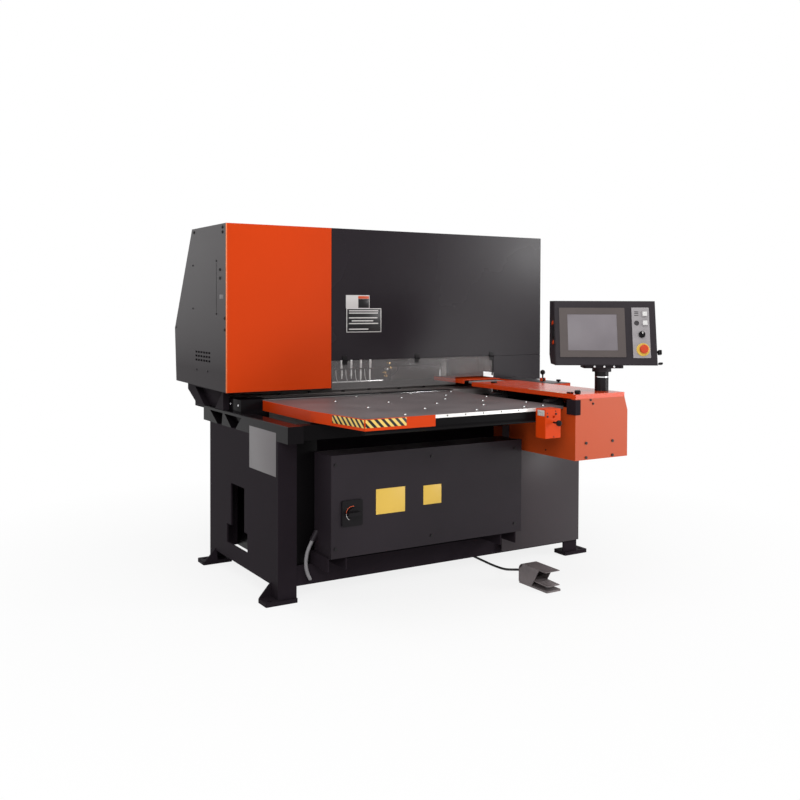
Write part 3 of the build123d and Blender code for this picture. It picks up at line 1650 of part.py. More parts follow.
# Foot switch: base and guard in one, open to the front, with the pedal's pin
foot_left = foot_x - foot_width / 2
foot_right = foot_x + foot_width / 2
with BuildPart() as foot_base:
    with BuildSketch(level(0)) as sole:
        span(foot_left, foot_right, foot_front, foot_back)
        fillet(sole.vertices(), foot_base_corner)
    extrude(amount=foot_base_thick)
    with BuildSketch(across(foot_left)):
        with BuildLine():
            back = Line((foot_back, foot_base_thick), (foot_back, guard_shoulder))
            turn = RadiusArc(back @ 1, (foot_back - guard_round, guard_top), -guard_round)
            Line(turn @ 1, (guard_tip, guard_tip_height))
            offset(amount=foot_wall, side=Side.LEFT, kind=Kind.INTERSECTION)
        make_face()
    extrude(amount=foot_width)
    for station in (foot_left, foot_right - foot_wall):
        with BuildSketch(across(station)):
            outline(
                (foot_back - foot_wall / 2, foot_base_thick),
                (cheek_front_low, foot_base_thick),
                (cheek_front_high, guard_tip_height - foot_wall / 2),
                (foot_back - guard_round, guard_top - foot_wall / 2),
                (foot_back - foot_wall / 2, guard_shoulder),
            )
        extrude(amount=foot_wall)
    with BuildSketch(across(foot_left)):
        with Locations((pedal_axis_y, pedal_axis_z)):
            Circle(pedal_pin_radius)
    extrude(amount=foot_width)
    with BuildSketch(facing(foot_back)):
        with Locations((cord_route[0][0], cord_route[0][2])):
            Circle(foot_gland_radius)
    extrude(amount=foot_back - cord_route[0][1])
save(foot_base, "foot_base")

with BuildPart() as foot_pedal:
    with BuildSketch(across(foot_left + foot_wall + pedal_side_gap)):
        with Locations((pedal_axis_y, pedal_axis_z)):
            Circle(pedal_barrel)
        outline(
            (pedal_axis_y, pedal_axis_z),
            (pedal_axis_y, pedal_axis_z + pedal_thick),
            (pedal_tip, pedal_axis_z + pedal_thick - pedal_drop),
            (pedal_tip, pedal_axis_z - pedal_drop),
        )
        with Locations((pedal_axis_y, pedal_axis_z)):
            Circle(pedal_pin_radius + running_fit, mode=Mode.SUBTRACT)
    extrude(amount=foot_width - 2 * (foot_wall + pedal_side_gap))
save(foot_pedal, "foot_pedal")

# Conduit from the cabinet to the skirt, and the foot switch's cord to the rear panel
with BuildPart() as conduit:
    with BuildLine() as conduit_line:
        cord_path(conduit_route)
    with BuildSketch(Plane(origin=conduit_line.line @ 0, z_dir=conduit_line.line % 0)):
        Circle(conduit_radius)
    sweep(path=conduit_line.line)
save(conduit, "conduit")

with BuildPart() as foot_cord:
    with BuildLine() as cord_line:
        cord_path(cord_route)
    with BuildSketch(Plane(origin=cord_line.line @ 0, z_dir=cord_line.line % 0)):
        Circle(cord_radius)
    sweep(path=cord_line.line)
save(foot_cord, "foot_cord")
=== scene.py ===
from math import cos, pi, radians, sin

import bpy
from mathutils import Matrix, Vector


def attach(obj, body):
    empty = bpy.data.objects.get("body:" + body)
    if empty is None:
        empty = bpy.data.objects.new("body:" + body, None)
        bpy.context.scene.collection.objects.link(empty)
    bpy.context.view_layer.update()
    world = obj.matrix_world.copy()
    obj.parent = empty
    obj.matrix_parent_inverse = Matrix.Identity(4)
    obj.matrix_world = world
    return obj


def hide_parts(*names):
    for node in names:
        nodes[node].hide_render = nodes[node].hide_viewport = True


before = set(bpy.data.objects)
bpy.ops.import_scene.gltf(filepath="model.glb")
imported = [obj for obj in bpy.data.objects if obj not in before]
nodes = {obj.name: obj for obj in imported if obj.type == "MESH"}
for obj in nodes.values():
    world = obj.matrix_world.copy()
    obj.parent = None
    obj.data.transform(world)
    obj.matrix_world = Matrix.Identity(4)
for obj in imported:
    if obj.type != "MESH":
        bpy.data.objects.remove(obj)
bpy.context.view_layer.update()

# The eye: where the photograph was taken from, at a standing person's height and well to the left,
# with the lens raised so that the machine's uprights stay upright.
eye = bpy.data.objects.new("eye", bpy.data.cameras.new("eye"))
bpy.context.scene.collection.objects.link(eye)
eye.location = (-2.4756, -4.1001, 1.2678)
eye.rotation_euler = (radians(88.791), radians(-0.192), radians(-31.293))
eye.data.sensor_width = 36.0
eye.data.lens = 42.89
eye.data.shift_y = -0.0928
eye.data.clip_end = 60.0
bpy.context.scene.camera = eye
bpy.context.scene.view_settings.view_transform = "Standard"


# The studio floor: a wide white sheet that keeps the machine's shadow and fades into the white
# background further off.
def pick_none():
    """Leaves nothing selected, as every step of modelling starts."""
    bpy.ops.object.select_all(action="DESELECT")


def met_by_eye(knots, wires):
    """One for what the eye meets straight, in a reflection or through something clear, else nought."""
    rays = knots.new("ShaderNodeLightPath")
    mirrored = knots.new("ShaderNodeMath")
    mirrored.operation = "MAXIMUM"
    met = knots.new("ShaderNodeMath")
    met.operation = "MAXIMUM"
    wires.new(rays.outputs["Is Camera Ray"], mirrored.inputs[0])
    wires.new(rays.outputs["Is Glossy Ray"], mirrored.inputs[1])
    wires.new(mirrored.outputs[0], met.inputs[0])
    wires.new(rays.outputs["Is Transmission Ray"], met.inputs[1])
    return met.outputs[0]


floor_width = 60
floor_drop = 0.0005
pick_none()
bpy.ops.mesh.primitive_plane_add(size=floor_width, location=(0, 0, -floor_drop))
floor = bpy.context.object
floor.name = "studio_floor"
floor_paint = bpy.data.materials.new("studio_floor")
floor_paint.use_nodes = True
floor_knots = floor_paint.node_tree.nodes
floor_wires = floor_paint.node_tree.links
floor_knots["Principled BSDF"].inputs["Base Color"].default_value = (0.86, 0.86, 0.86, 1)
floor_knots["Principled BSDF"].inputs["Roughness"].default_value = 0.9
floor_place = floor_knots.new("ShaderNodeTexCoord")
floor_far = floor_knots.new("ShaderNodeVectorMath")
floor_far.operation = "LENGTH"
floor_fade = floor_knots.new("ShaderNodeMapRange")
floor_fade.inputs["From Min"].default_value = 0.9
floor_fade.inputs["From Max"].default_value = 2.6
floor_fade.inputs["To Min"].default_value = 0.84
floor_fade.inputs["To Max"].default_value = 1.0
floor_share = floor_knots.new("ShaderNodeMath")
floor_share.operation = "MULTIPLY"
floor_glow = floor_knots.new("ShaderNodeEmission")
floor_mix = floor_knots.new("ShaderNodeMixShader")
floor_wires.new(floor_place.outputs["Object"], floor_far.inputs[0])
floor_wires.new(floor_far.outputs["Value"], floor_fade.inputs["Value"])
floor_wires.new(floor_fade.outputs[0], floor_share.inputs[0])
floor_wires.new(met_by_eye(floor_knots, floor_wires), floor_share.inputs[1])
floor_wires.new(floor_share.outputs[0], floor_mix.inputs[0])
floor_wires.new(floor_knots["Principled BSDF"].outputs[0], floor_mix.inputs[1])
floor_wires.new(floor_glow.outputs[0], floor_mix.inputs[2])
floor_wires.new(floor_mix.outputs[0], floor_knots["Material Output"].inputs["Surface"])
floor.data.materials.append(floor_paint)

# The studio light: a white surround, plain white to the eye and in reflections but gentle on the
# machine, and soft lamps: one in front on the left, two in front on the right, one above, one behind.
surround = bpy.data.worlds.new("surround")
bpy.context.scene.world = surround
surround.use_nodes = True
sky_knots = surround.node_tree.nodes
sky_wires = surround.node_tree.links
sky_level = sky_knots.new("ShaderNodeMapRange")
sky_level.inputs["To Min"].default_value = 0.32
sky_level.inputs["To Max"].default_value = 1.0
sky_wires.new(met_by_eye(sky_knots, sky_wires), sky_level.inputs["Value"])
sky_wires.new(sky_level.outputs[0], sky_knots["Background"].inputs["Strength"])
sky_knots["Background"].inputs["Color"].default_value = (1, 1, 1, 1)
lamp_target = Vector((0, 0, 0.9))
for lamp_name, lamp_place, lamp_size, lamp_power in (
    ("front_left_lamp", (-3.4, -5.0, 3.4), 3.0, 165),
    ("low_right_lamp", (2.9, -3.5, 0.65), 1.2, 26),
    ("high_right_lamp", (4.1, -3.5, 2.05), 0.8, 78),
    ("top_lamp", (-0.4, -0.6, 4.6), 3.4, 70),
    ("rear_left_lamp", (-2.5, 3.6, 3.6), 1.8, 20),
):
    lamp = bpy.data.objects.new(lamp_name, bpy.data.lights.new(lamp_name, "AREA"))
    bpy.context.scene.collection.objects.link(lamp)
    lamp.location = lamp_place
    aim = lamp_target - Vector(lamp_place)
    lamp.rotation_euler = aim.to_track_quat("-Z", "Y").to_euler()
    lamp.data.size = lamp_size
    lamp.data.energy = lamp_power


# Foot switch lead: round black rubber, plugged into the switch's back gland and clamped in a gland
# on the rear panel; it lies loose on the floor in between.
def surface(name, colour, rough, metal=0.0, specular=0.3, drift=0.12, drift_size=3.0, grain=0.05,
            grain_size=1500.0, stretch=(1, 1, 1)):
    """Finish whose colour and gloss drift a little over a piece, with a fine grain."""
    finish = bpy.data.materials.new(name)
    finish.use_nodes = True
    knots = finish.node_tree.nodes
    wires = finish.node_tree.links
    shader = knots["Principled BSDF"]
    shader.inputs["Metallic"].default_value = metal
    shader.inputs["Specular IOR Level"].default_value = specular
    place = knots.new("ShaderNodeTexCoord")
    spread = knots.new("ShaderNodeMapping")
    spread.inputs["Scale"].default_value = stretch
    wires.new(place.outputs["Object"], spread.inputs["Vector"])
    cloud = knots.new("ShaderNodeTexNoise")
    cloud.inputs["Scale"].default_value = drift_size
    cloud.inputs["Detail"].default_value = 5.0
    wires.new(spread.outputs["Vector"], cloud.inputs["Vector"])
    shades = knots.new("ShaderNodeValToRGB")
    shades.name = "shades"
    shades.color_ramp.elements[0].position = 0.3
    shades.color_ramp.elements[0].color = [c * (1 - drift) for c in colour] + [1]
    shades.color_ramp.elements[1].position = 0.7
    shades.color_ramp.elements[1].color = [min(c * (1 + drift), 1) for c in colour] + [1]
    wires.new(cloud.outputs["Fac"], shades.inputs["Fac"])
    wires.new(shades.outputs["Color"], shader.inputs["Base Color"])
    gloss_spread = 0.07
    smoothest = 0.02
    gloss = knots.new("ShaderNodeMapRange")
    gloss.inputs["To Min"].default_value = max(rough - gloss_spread, smoothest)
    gloss.inputs["To Max"].default_value = rough + gloss_spread
    wires.new(cloud.outputs["Fac"], gloss.inputs["Value"])
    wires.new(gloss.outputs[0], shader.inputs["Roughness"])
    speckle = knots.new("ShaderNodeTexNoise")
    speckle.inputs["Scale"].default_value = grain_size
    speckle.inputs["Detail"].default_value = 2.0
    wires.new(spread.outputs["Vector"], speckle.inputs["Vector"])
    relief = knots.new("ShaderNodeBump")
    relief.inputs["Strength"].default_value = grain
    relief.inputs["Distance"].default_value = 0.0004
    wires.new(speckle.outputs["Fac"], relief.inputs["Height"])
    wires.new(relief.outputs["Normal"], shader.inputs["Normal"])
    return finish


def lay_tube(name, route, radius, finish):
    """Smooth round tube along a route, with closed ends."""
    curve = bpy.data.curves.new(name, "CURVE")
    curve.dimensions = "3D"
    curve.bevel_depth = radius
    curve.bevel_resolution = 5
    curve.resolution_u = 10
    curve.use_fill_caps = True
    line = curve.splines.new("NURBS")
    line.points.add(len(route) - 1)
    for knot, place in zip(line.points, route):
        knot.co = (*place, 1.0)
    line.order_u = 3
    line.use_endpoint_u = True
    tube = bpy.data.objects.new(name, curve)
    bpy.context.scene.collection.objects.link(tube)
    curve.materials.append(finish)
    return tube


lead_route = (
    (0.300, -0.653, 0.040), (0.300, -0.618, 0.040), (0.304, -0.560, 0.025), (0.312, -0.487, 0.0075),
    (0.310, -0.402, 0.006), (0.318, -0.300, 0.0065), (0.330, -0.180, 0.006), (0.324, -0.056, 0.0065),
    (0.309, 0.066, 0.006), (0.308, 0.180, 0.0085), (0.316, 0.262, 0.029), (0.320, 0.316, 0.062),
    (0.320, 0.360, 0.082), (0.320, 0.388, 0.082),
)
lead_diameter = 0.011
black_rubber_and_shade = surface("black_rubber_and_shade", (0.009, 0.008, 0.009), 0.5, grain=0.15, grain_size=900)
foot_lead = lay_tube("foot_lead", lead_route, lead_diameter / 2, black_rubber_and_shade)
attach(foot_lead, "machine")
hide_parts("foot_cord")

# Grey conduit: ribbed plastic tube, screwed into the cabinet's angled gland and into the clip on the
# skirt; it bows out to the left between them.
conduit_route = (
    (-0.682, -0.430, 0.258), (-0.700, -0.429, 0.226), (-0.709, -0.427, 0.188), (-0.708, -0.423, 0.148),
    (-0.698, -0.418, 0.114), (-0.683, -0.414, 0.088),
)
conduit_diameter = 0.016
conduit_plastic = surface("conduit_plastic", (0.24, 0.23, 0.24), 0.45, grain=0.8, grain_size=240,
                          stretch=(0.05, 0.05, 1))
conduit_tube = lay_tube("conduit_tube", conduit_route, conduit_diameter / 2, conduit_plastic)
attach(conduit_tube, "machine")
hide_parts("conduit")


# Stand: folded and welded side frames with skirt and rear panel, in satin black powder coat, bolted
# to the floor through the foot plates.
def dress(finish, *names):
    """Puts a finish on machined or folded pieces."""
    for name in names:
        for spot in nodes[name].material_slots:
            spot.material = finish


black_coat = surface("black_coat", (0.0190, 0.0145, 0.0185), 0.5, specular=0.015, grain=0.12)
dress(black_coat, "left_stand", "right_stand", "front_skirt", "rear_panel")


# Plain plate on the left side: thin sheet of smooth pale aluminium, stuck on over the frame and the
# beam, whose faces are flush there.
def settle(piece, name, body, finish):
    """Fixes a modelled piece where it is, smooths its rounds, and gives it finish and carrier."""
    pick_none()
    piece.select_set(True)
    bpy.context.view_layer.objects.active = piece
    bpy.ops.object.transform_apply(location=True, rotation=True, scale=True)
    bpy.ops.object.shade_smooth_by_angle(angle=radians(35))
    piece.name = name
    piece.data.materials.clear()
    piece.data.materials.append(finish)
    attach(piece, body)


def block(name, low, high, edge, finish, body="machine", seat=Matrix()):
    """Block between two corners of a seat, with its edges rounded over."""
    pick_none()
    bpy.ops.mesh.primitive_cube_add(size=1)
    piece = bpy.context.object
    piece.scale = [h - l for l, h in zip(low, high)]
    piece.location = [(h + l) / 2 for l, h in zip(low, high)]
    bpy.ops.object.transform_apply(location=True, rotation=True, scale=True)
    bpy.ops.object.mode_set(mode="EDIT")
    bpy.ops.mesh.select_all(action="SELECT")
    bpy.ops.mesh.bevel(offset=edge, segments=2, affect="EDGES")
    bpy.ops.object.mode_set(mode="OBJECT")
    piece.matrix_world = seat
    settle(piece, name, body, finish)


side_face = -0.832
side_plate_thick = 0.0006
side_plate_pale = surface("side_plate_pale", (0.165, 0.152, 0.157), 0.4, metal=0.2, drift=0.06)
block("side_plate", low=(side_face - side_plate_thick, -0.389, 0.539),
      high=(side_face, -0.096, 0.727), edge=0.0002, finish=side_plate_pale)

# Front sheets: sheets that close the stand beside the cabinet, all riveted on: the right one flush with
# the frame and satin, in a black lighter than the frame's that paints light into its shaded face; the
# left one set back and a dull one inside behind the left hatch, both in a near-black that paints the
# shade in those recesses.
near_black_and_shade = surface("near_black_and_shade", (0.004, 0.0035, 0.004), 0.35, specular=0.04, grain=0.04)
sheet_coat_painted_light = surface("sheet_coat_painted_light", (0.038, 0.030, 0.034), 0.33, specular=0.24, drift=0.1, drift_size=2)
sheet_top = 0.690
sheet_edge = 0.0005
# Painted light: the right sheet's black is lighter than the frame's.
block("front_sheet_right", low=(0.3400, -0.4256, 0.075), high=(0.8320, -0.4242, sheet_top),
      edge=sheet_edge, finish=sheet_coat_painted_light)
# Painted shade: the left sheet and the one behind the hatch are near-black.
block("front_sheet_left", low=(-0.790, -0.3920, 0.100), high=(-0.640, -0.3900, sheet_top),
      edge=sheet_edge, finish=near_black_and_shade)
block("hatch_sheet", low=(-0.700, -0.3800, 0.070), high=(-0.698, 0.3800, 0.600), edge=sheet_edge,
      finish=near_black_and_shade)

# Side beams: box beams of welded plate, ground on top and enamelled in gloss black; each is bolted
# along the top of its side frame.
black_enamel = surface("black_enamel", (0.006, 0.005, 0.006), 0.2, specular=0.05, grain=0.04)
dress(black_enamel, "side_beams")

# Bridge: flame-cut end plates and a girder between them in black powder coat, bolted together, with
# ground steel guide rails screwed on for the head.
ground_steel = surface("ground_steel", (0.6, 0.6, 0.61), 0.25, metal=1.0, drift=0.12, drift_size=14,
                       grain=0.08, grain_size=600, stretch=(0.1, 1, 1))
dress(black_coat, "bridge_plates", "bridge_beam")
dress(ground_steel, "guide_rails")


# Anvil: planed grey steel beam under the taps with a folded tray behind it, held down by black cap
# screws along its top; a thin black strip along its front paints the shadow in the gap behind the table.
def heads(name, places, out, radius, height, finish, body="machine"):
    """Cap screw heads with sockets, one modelled and the others copied, all facing one way."""
    rim_share = 0.15
    crown_share = 0.12
    wall_share = 0.35
    socket_share = 0.5
    upright = 0.9
    pick_none()
    bpy.ops.mesh.primitive_cylinder_add(vertices=24, radius=radius, depth=height,
                                        location=(0, 0, height / 2))
    pattern = bpy.context.object
    bpy.ops.object.transform_apply(location=True, rotation=True, scale=True)
    bpy.ops.object.mode_set(mode="EDIT")
    bpy.ops.mesh.select_mode(type="FACE")
    bpy.ops.mesh.select_all(action="DESELECT")
    bpy.ops.object.mode_set(mode="OBJECT")
    for face in pattern.data.polygons:
        face.select = face.normal.z > upright
    bpy.ops.object.mode_set(mode="EDIT")
    bpy.ops.mesh.inset(thickness=rim_share * radius, depth=crown_share * radius)
    bpy.ops.mesh.inset(thickness=wall_share * radius, depth=0)
    bpy.ops.mesh.extrude_region_move(TRANSFORM_OT_translate={"value": (0, 0, -socket_share * height)})
    bpy.ops.object.mode_set(mode="OBJECT")
    turn = Vector(out).to_track_quat("Z", "Y").to_matrix().to_4x4()
    copies = []
    for place in places:
        copy = pattern.copy()
        copy.data = pattern.data.copy()
        copy.data.transform(Matrix.Translation(place) @ turn)
        bpy.context.scene.collection.objects.link(copy)
        copies.append(copy)
    bpy.data.objects.remove(pattern)
    pick_none()
    for copy in copies:
        copy.select_set(True)
    bpy.context.view_layer.objects.active = copies[0]
    bpy.ops.object.join()
    settle(copies[0], name, body, finish)


anvil_steel = surface("anvil_steel", (0.30, 0.27, 0.265), 0.42, metal=0.25, drift=0.15, drift_size=10,
                      grain=0.15, grain_size=500, stretch=(0.1, 1, 1))
black_steel = surface("black_steel", (0.009, 0.008, 0.009), 0.35, metal=0.3)
dress(anvil_steel, "anvil_beam")
anvil_top = 0.822
anvil_screw_places = ((-0.52, 0.27), (-0.345, 0.295), (-0.168, 0.262), (0.008, 0.3), (0.172, 0.262),
                      (0.35, 0.295))
heads("anvil_screws", places=[(x, y, anvil_top) for x, y in anvil_screw_places], out=(0, 0, 1),
      radius=0.009, height=0.005, finish=black_steel)
strip_sunk = 0.0005
strip_proud = 0.0007
# Painted shade: a thin black strip, in the lead's black rubber finish, stands in for the shadowed gap.
block("anvil_gap_shade", low=(-0.660, 0.0790, anvil_top - strip_sunk),
      high=(0.400, 0.1350, anvil_top + strip_proud), edge=0.0004, finish=black_rubber_and_shade)

# Anvil end caps: black enamelled covers over the ends of the anvil, each on two bright screws, and a
# sheet behind the arch of each pedestal and at the right end of the tray.
cap_end = 0.803
cap_inside = 0.660
cap_screw_z = 0.797
arch_face = 0.8004
arch_sheet_thick = 0.0020
for side_name, way in (("left", -1), ("right", 1)):
    cap_x = sorted((cap_end * way, cap_inside * way))
    block(f"anvil_cap_{side_name}", low=(cap_x[0], 0.0785, 0.720), high=(cap_x[1], 0.3320, 0.8235),
          edge=0.0015, finish=black_enamel)
    cap_screw_places = [(cap_end * way, y, cap_screw_z) for y in (0.105, 0.205)]
    heads(f"anvil_cap_screws_{side_name}", places=cap_screw_places, out=(way, 0, 0), radius=0.006,
          height=0.003, finish=ground_steel)
    arch_x = sorted((arch_face * way, (arch_face - arch_sheet_thick) * way))
    block(f"arch_sheet_{side_name}", low=(arch_x[0], 0.300, 0.742), high=(arch_x[1], 0.720, 0.857),
          edge=sheet_edge, finish=black_coat)
block("tray_end_sheet", low=(0.795, 0.797, 0.822), high=(1.005, 0.800, 0.960), edge=0.0008,
      finish=anvil_steel)

# Hood ends and shell: folded sheet in charcoal powder coat, screwed to the bridge's end plates; on the
# ends a painted sheen, their gloss rising with height to stand in for the lamps' highlight towards the
# top. A rubber seal sits in the upright slot on the left, with a small pale tag beside it.
charcoal = (0.040, 0.034, 0.037)
charcoal_rough = 0.36
charcoal_coat = surface("charcoal_coat", charcoal, charcoal_rough, specular=0.16, drift=0.1,
                        drift_size=1.5, grain=0.14)
dress(charcoal_coat, "hood_shell")
sheen_painted_end_coat = surface("sheen_painted_end_coat", charcoal, charcoal_rough, drift=0.1, drift_size=1.5, grain=0.14)
end_knots = sheen_painted_end_coat.node_tree.nodes
end_wires = sheen_painted_end_coat.node_tree.links
end_place = end_knots.new("ShaderNodeTexCoord")
end_height = end_knots.new("ShaderNodeSeparateXYZ")
# Painted sheen: the specular level grows from low to high on the hood's ends.
painted_sheen_by_height = end_knots.new("ShaderNodeMapRange")
painted_sheen_by_height.inputs["From Min"].default_value = 0.95
painted_sheen_by_height.inputs["From Max"].default_value = 1.55
painted_sheen_by_height.inputs["To Min"].default_value = 0.03
painted_sheen_by_height.inputs["To Max"].default_value = 0.27
end_wires.new(end_place.outputs["Object"], end_height.inputs[0])
end_wires.new(end_height.outputs["Z"], painted_sheen_by_height.inputs["Value"])
end_wires.new(painted_sheen_by_height.outputs[0], end_knots["Principled BSDF"].inputs["Specular IOR Level"])
dress(sheen_painted_end_coat, "hood_sides")
hood_left_face = -0.865
hood_right_face = 1.012
large_screw_places = ((0.550, 1.632), (0.152, 1.633), (0.152, 1.610), (0.186, 1.435), (0.186, 1.395),
                      (0.124, 1.205), (0.124, 1.152))
small_screw_places = ((0.566, 1.467), (0.567, 1.250), (0.512, 0.944), (0.356, 0.943), (0.234, 1.478),
                      (0.234, 1.226), (0.838, 1.150))
for side_name, face_x, way in (("left", hood_left_face, -1), ("right", hood_right_face, 1)):
    heads(f"hood_large_screws_{side_name}", places=[(face_x, y, z) for y, z in large_screw_places],
          out=(way, 0, 0), radius=0.0075, height=0.003, finish=black_steel)
    heads(f"hood_small_screws_{side_name}", places=[(face_x, y, z) for y, z in small_screw_places],
          out=(way, 0, 0), radius=0.005, height=0.002, finish=black_steel)
seal_proud = 0.0006
seal_sunk = 0.0010
tag_thick = 0.0006
block("slot_seal", low=(hood_left_face - seal_proud, 0.2305, 1.236),
      high=(hood_left_face + seal_sunk, 0.2375, 1.468), edge=0.0004,
      finish=black_rubber_and_shade)
block("slot_tag", low=(hood_left_face - tag_thick, 0.140, 1.297), high=(hood_left_face, 0.190, 1.317),
      edge=0.0002, finish=side_plate_pale)

# Orange cover: folded sheet in orange powder coat, screwed on over the hood's left front; its left
# fold stands a little proud, in a lighter orange that paints a highlight along it.
orange_coat = surface("orange_coat", (0.610, 0.048, 0.003), 0.4, specular=0.10, drift=0.04,
                      drift_size=1.2, grain=0.1)
# Painted highlight: the fold's orange is lighter and glossier than the cover's.
painted_fold_highlight = surface("painted_fold_highlight", (0.80, 0.20, 0.06), 0.3, specular=0.4, drift=0.06)
dress(orange_coat, "orange_cover")
fold_proud = 0.0006
fold_width = 0.0058
fold_left = hood_left_face - fold_proud
block("orange_fold", low=(fold_left, 0.1052, 0.858), high=(fold_left + fold_width, 0.1100, 1.650),
      edge=0.0018, finish=painted_fold_highlight)

# Front covers: a large folded sheet and a small one below it in black powder coat, screwed on over
# the hood's right front with a narrow joint between them.
cover_coat = surface("cover_coat", (0.0145, 0.0105, 0.0140), 0.27, specular=0.12, drift=0.08,
                     drift_size=1.5, grain=0.1)
dress(cover_coat, "front_covers")

# Plates on the front cover: a small white one with a red band and a black field, over a larger black
# one with a white rim and plain pale lines; both stuck on flat.
plate_white = surface("plate_white", (0.60, 0.58, 0.57), 0.4, drift=0.04)
plate_red = surface("plate_red", (0.6, 0.09, 0.03), 0.4, drift=0.05)
cover_face = 0.106
plate_front = 0.1052
field_back = 0.1054
field_front = 0.1048
line_back = 0.105
line_front = 0.1045
block("upper_plate", low=(-0.235, plate_front, 1.253), high=(-0.100, cover_face, 1.320), edge=0.0003,
      finish=plate_white)
block("upper_field", low=(-0.165, field_front, 1.2555), high=(-0.103, field_back, 1.301), edge=0.0002,
      finish=black_steel)
block("upper_band", low=(-0.165, field_front, 1.302), high=(-0.103, field_back, 1.3155), edge=0.0002,
      finish=plate_red)
block("lower_plate", low=(-0.232, plate_front, 1.133), high=(-0.031, cover_face, 1.2535), edge=0.0003,
      finish=plate_white)
block("lower_field", low=(-0.228, field_front, 1.1365), high=(-0.035, field_back, 1.2500), edge=0.0002,
      finish=black_steel)
line_height = 0.0055
line_rows = ((-0.218, -0.049, 1.2385), (-0.218, -0.051, 1.2270), (-0.218, -0.054, 1.2030),
             (-0.202, -0.078, 1.1880), (-0.218, -0.049, 1.1745), (-0.218, -0.107, 1.1460))
for number, (line_start, line_end, line_z) in enumerate(line_rows, start=1):
    block(f"pale_line_{number}", low=(line_start, line_front, line_z),
          high=(line_end, line_back, line_z + line_height), edge=0.0002,
          finish=plate_white)

# Window: clear acrylic sheet on three black hinges, with a polished edge on the left and, on the right,
# a black strip that paints the shade of the gap beside the panel.
clear_acrylic = surface("clear_acrylic", (0.55, 0.52, 0.52), 0.08, drift=0.05, drift_size=4, grain=0.0)
clear_acrylic.node_tree.nodes["Principled BSDF"].inputs["Alpha"].default_value = 0.12
moulded_black = surface("moulded_black", (0.008, 0.007, 0.008), 0.3, specular=0.1, grain=0.08)
polished_edge = surface("polished_edge", (0.12, 0.12, 0.12), 0.12, drift=0.05)
dress(clear_acrylic, "window")
dress(moulded_black, "hinge_leaves", "window_leaves")
block("window_left_edge", low=(-0.3138, 0.1054, 0.849), high=(-0.3108, 0.1126, 0.992), edge=0.0008,
      finish=polished_edge, body="window")
# Painted shade: the black strip on the right edge stands in for the shadowed gap.
block("window_gap_shade", low=(0.6742, 0.1048, 0.887), high=(0.6808, 0.1132, 0.9715), edge=0.0025,
      finish=black_rubber_and_shade, body="window")

# Tapping head: black carriage on the rails with bright ground quills and spindles, a bright strip on
# the nose before each quill, and a shield whose folded lip is bare and bright.
bright_steel = surface("bright_steel", (0.85, 0.84, 0.83), 0.3, metal=0.6, drift=0.08, drift_size=14,
                       grain=0.05, grain_size=600)
dress(black_coat, "head_carriage")
dress(bright_steel, "quill_1", "quill_2", "quill_3", "quill_4", "tap_1", "tap_2", "tap_3", "tap_4")
block("shield_lip", low=(-0.2615, 0.3306, 0.8616), high=(0.1145, 0.3392, 0.8686), edge=0.001,
      finish=bright_steel, body="head")
quill_x = (-0.218, -0.162, -0.106, -0.050)
nose_strip_half = 0.006
for number, strip_x in enumerate(quill_x, start=1):
    block(f"nose_strip_{number}", low=(strip_x - nose_strip_half, 0.1832, 0.946),
          high=(strip_x + nose_strip_half, 0.1852, 1.020), edge=0.0008,
          finish=bright_steel, body="head")


# Oil nozzles: thin steel tubes, bent to shape and pressed into the head's nose, that bring oil to
# the tip of each tap.
def tube_piece(name, route, radius, finish, body="machine"):
    """Tube along a route as a modelled piece."""
    tube = lay_tube(name, route, radius, finish)
    pick_none()
    tube.select_set(True)
    bpy.context.view_layer.objects.active = tube
    bpy.ops.object.convert(target="MESH")
    settle(bpy.context.object, name, body, finish)


for number, nozzle_x in enumerate((-0.222, -0.1645, -0.1095, -0.0545), start=1):
    nozzle_route = ((nozzle_x - 0.012, 0.215, 0.945), (nozzle_x - 0.012, 0.215, 0.912),
                    (nozzle_x - 0.004, 0.219, 0.886), (nozzle_x + 0.006, 0.224, 0.872))
    tube_piece(f"nozzle_{number}", route=nozzle_route, radius=0.0018,
               finish=bright_steel, body="head")


# Oil fittings: turned unions screwed into the shield, the first of steel and the others of brass,
# joined by a thin black rubber hose.
def turned(name, outline, place, out, finish, body="machine"):
    """Piece spun from a half outline of radius and height, standing on a place and facing out."""
    pick_none()
    mesh = bpy.data.meshes.new(name)
    mesh.from_pydata([(r, 0, h) for r, h in outline], [(i, i + 1) for i in range(len(outline) - 1)], [])
    piece = bpy.data.objects.new(name, mesh)
    bpy.context.scene.collection.objects.link(piece)
    piece.select_set(True)
    bpy.context.view_layer.objects.active = piece
    bpy.ops.object.mode_set(mode="EDIT")
    bpy.ops.mesh.select_all(action="SELECT")
    bpy.ops.mesh.spin(steps=40, angle=2 * pi, center=(0, 0, 0), axis=(0, 0, 1))
    bpy.ops.mesh.select_all(action="SELECT")
    bpy.ops.mesh.remove_doubles(threshold=0.000005)
    bpy.ops.mesh.normals_make_consistent(inside=False)
    bpy.ops.object.mode_set(mode="OBJECT")
    turn = Vector(out).to_track_quat("Z", "Y").to_matrix().to_4x4()
    piece.matrix_world = Matrix.Translation(place) @ turn
    settle(piece, name, body, finish)


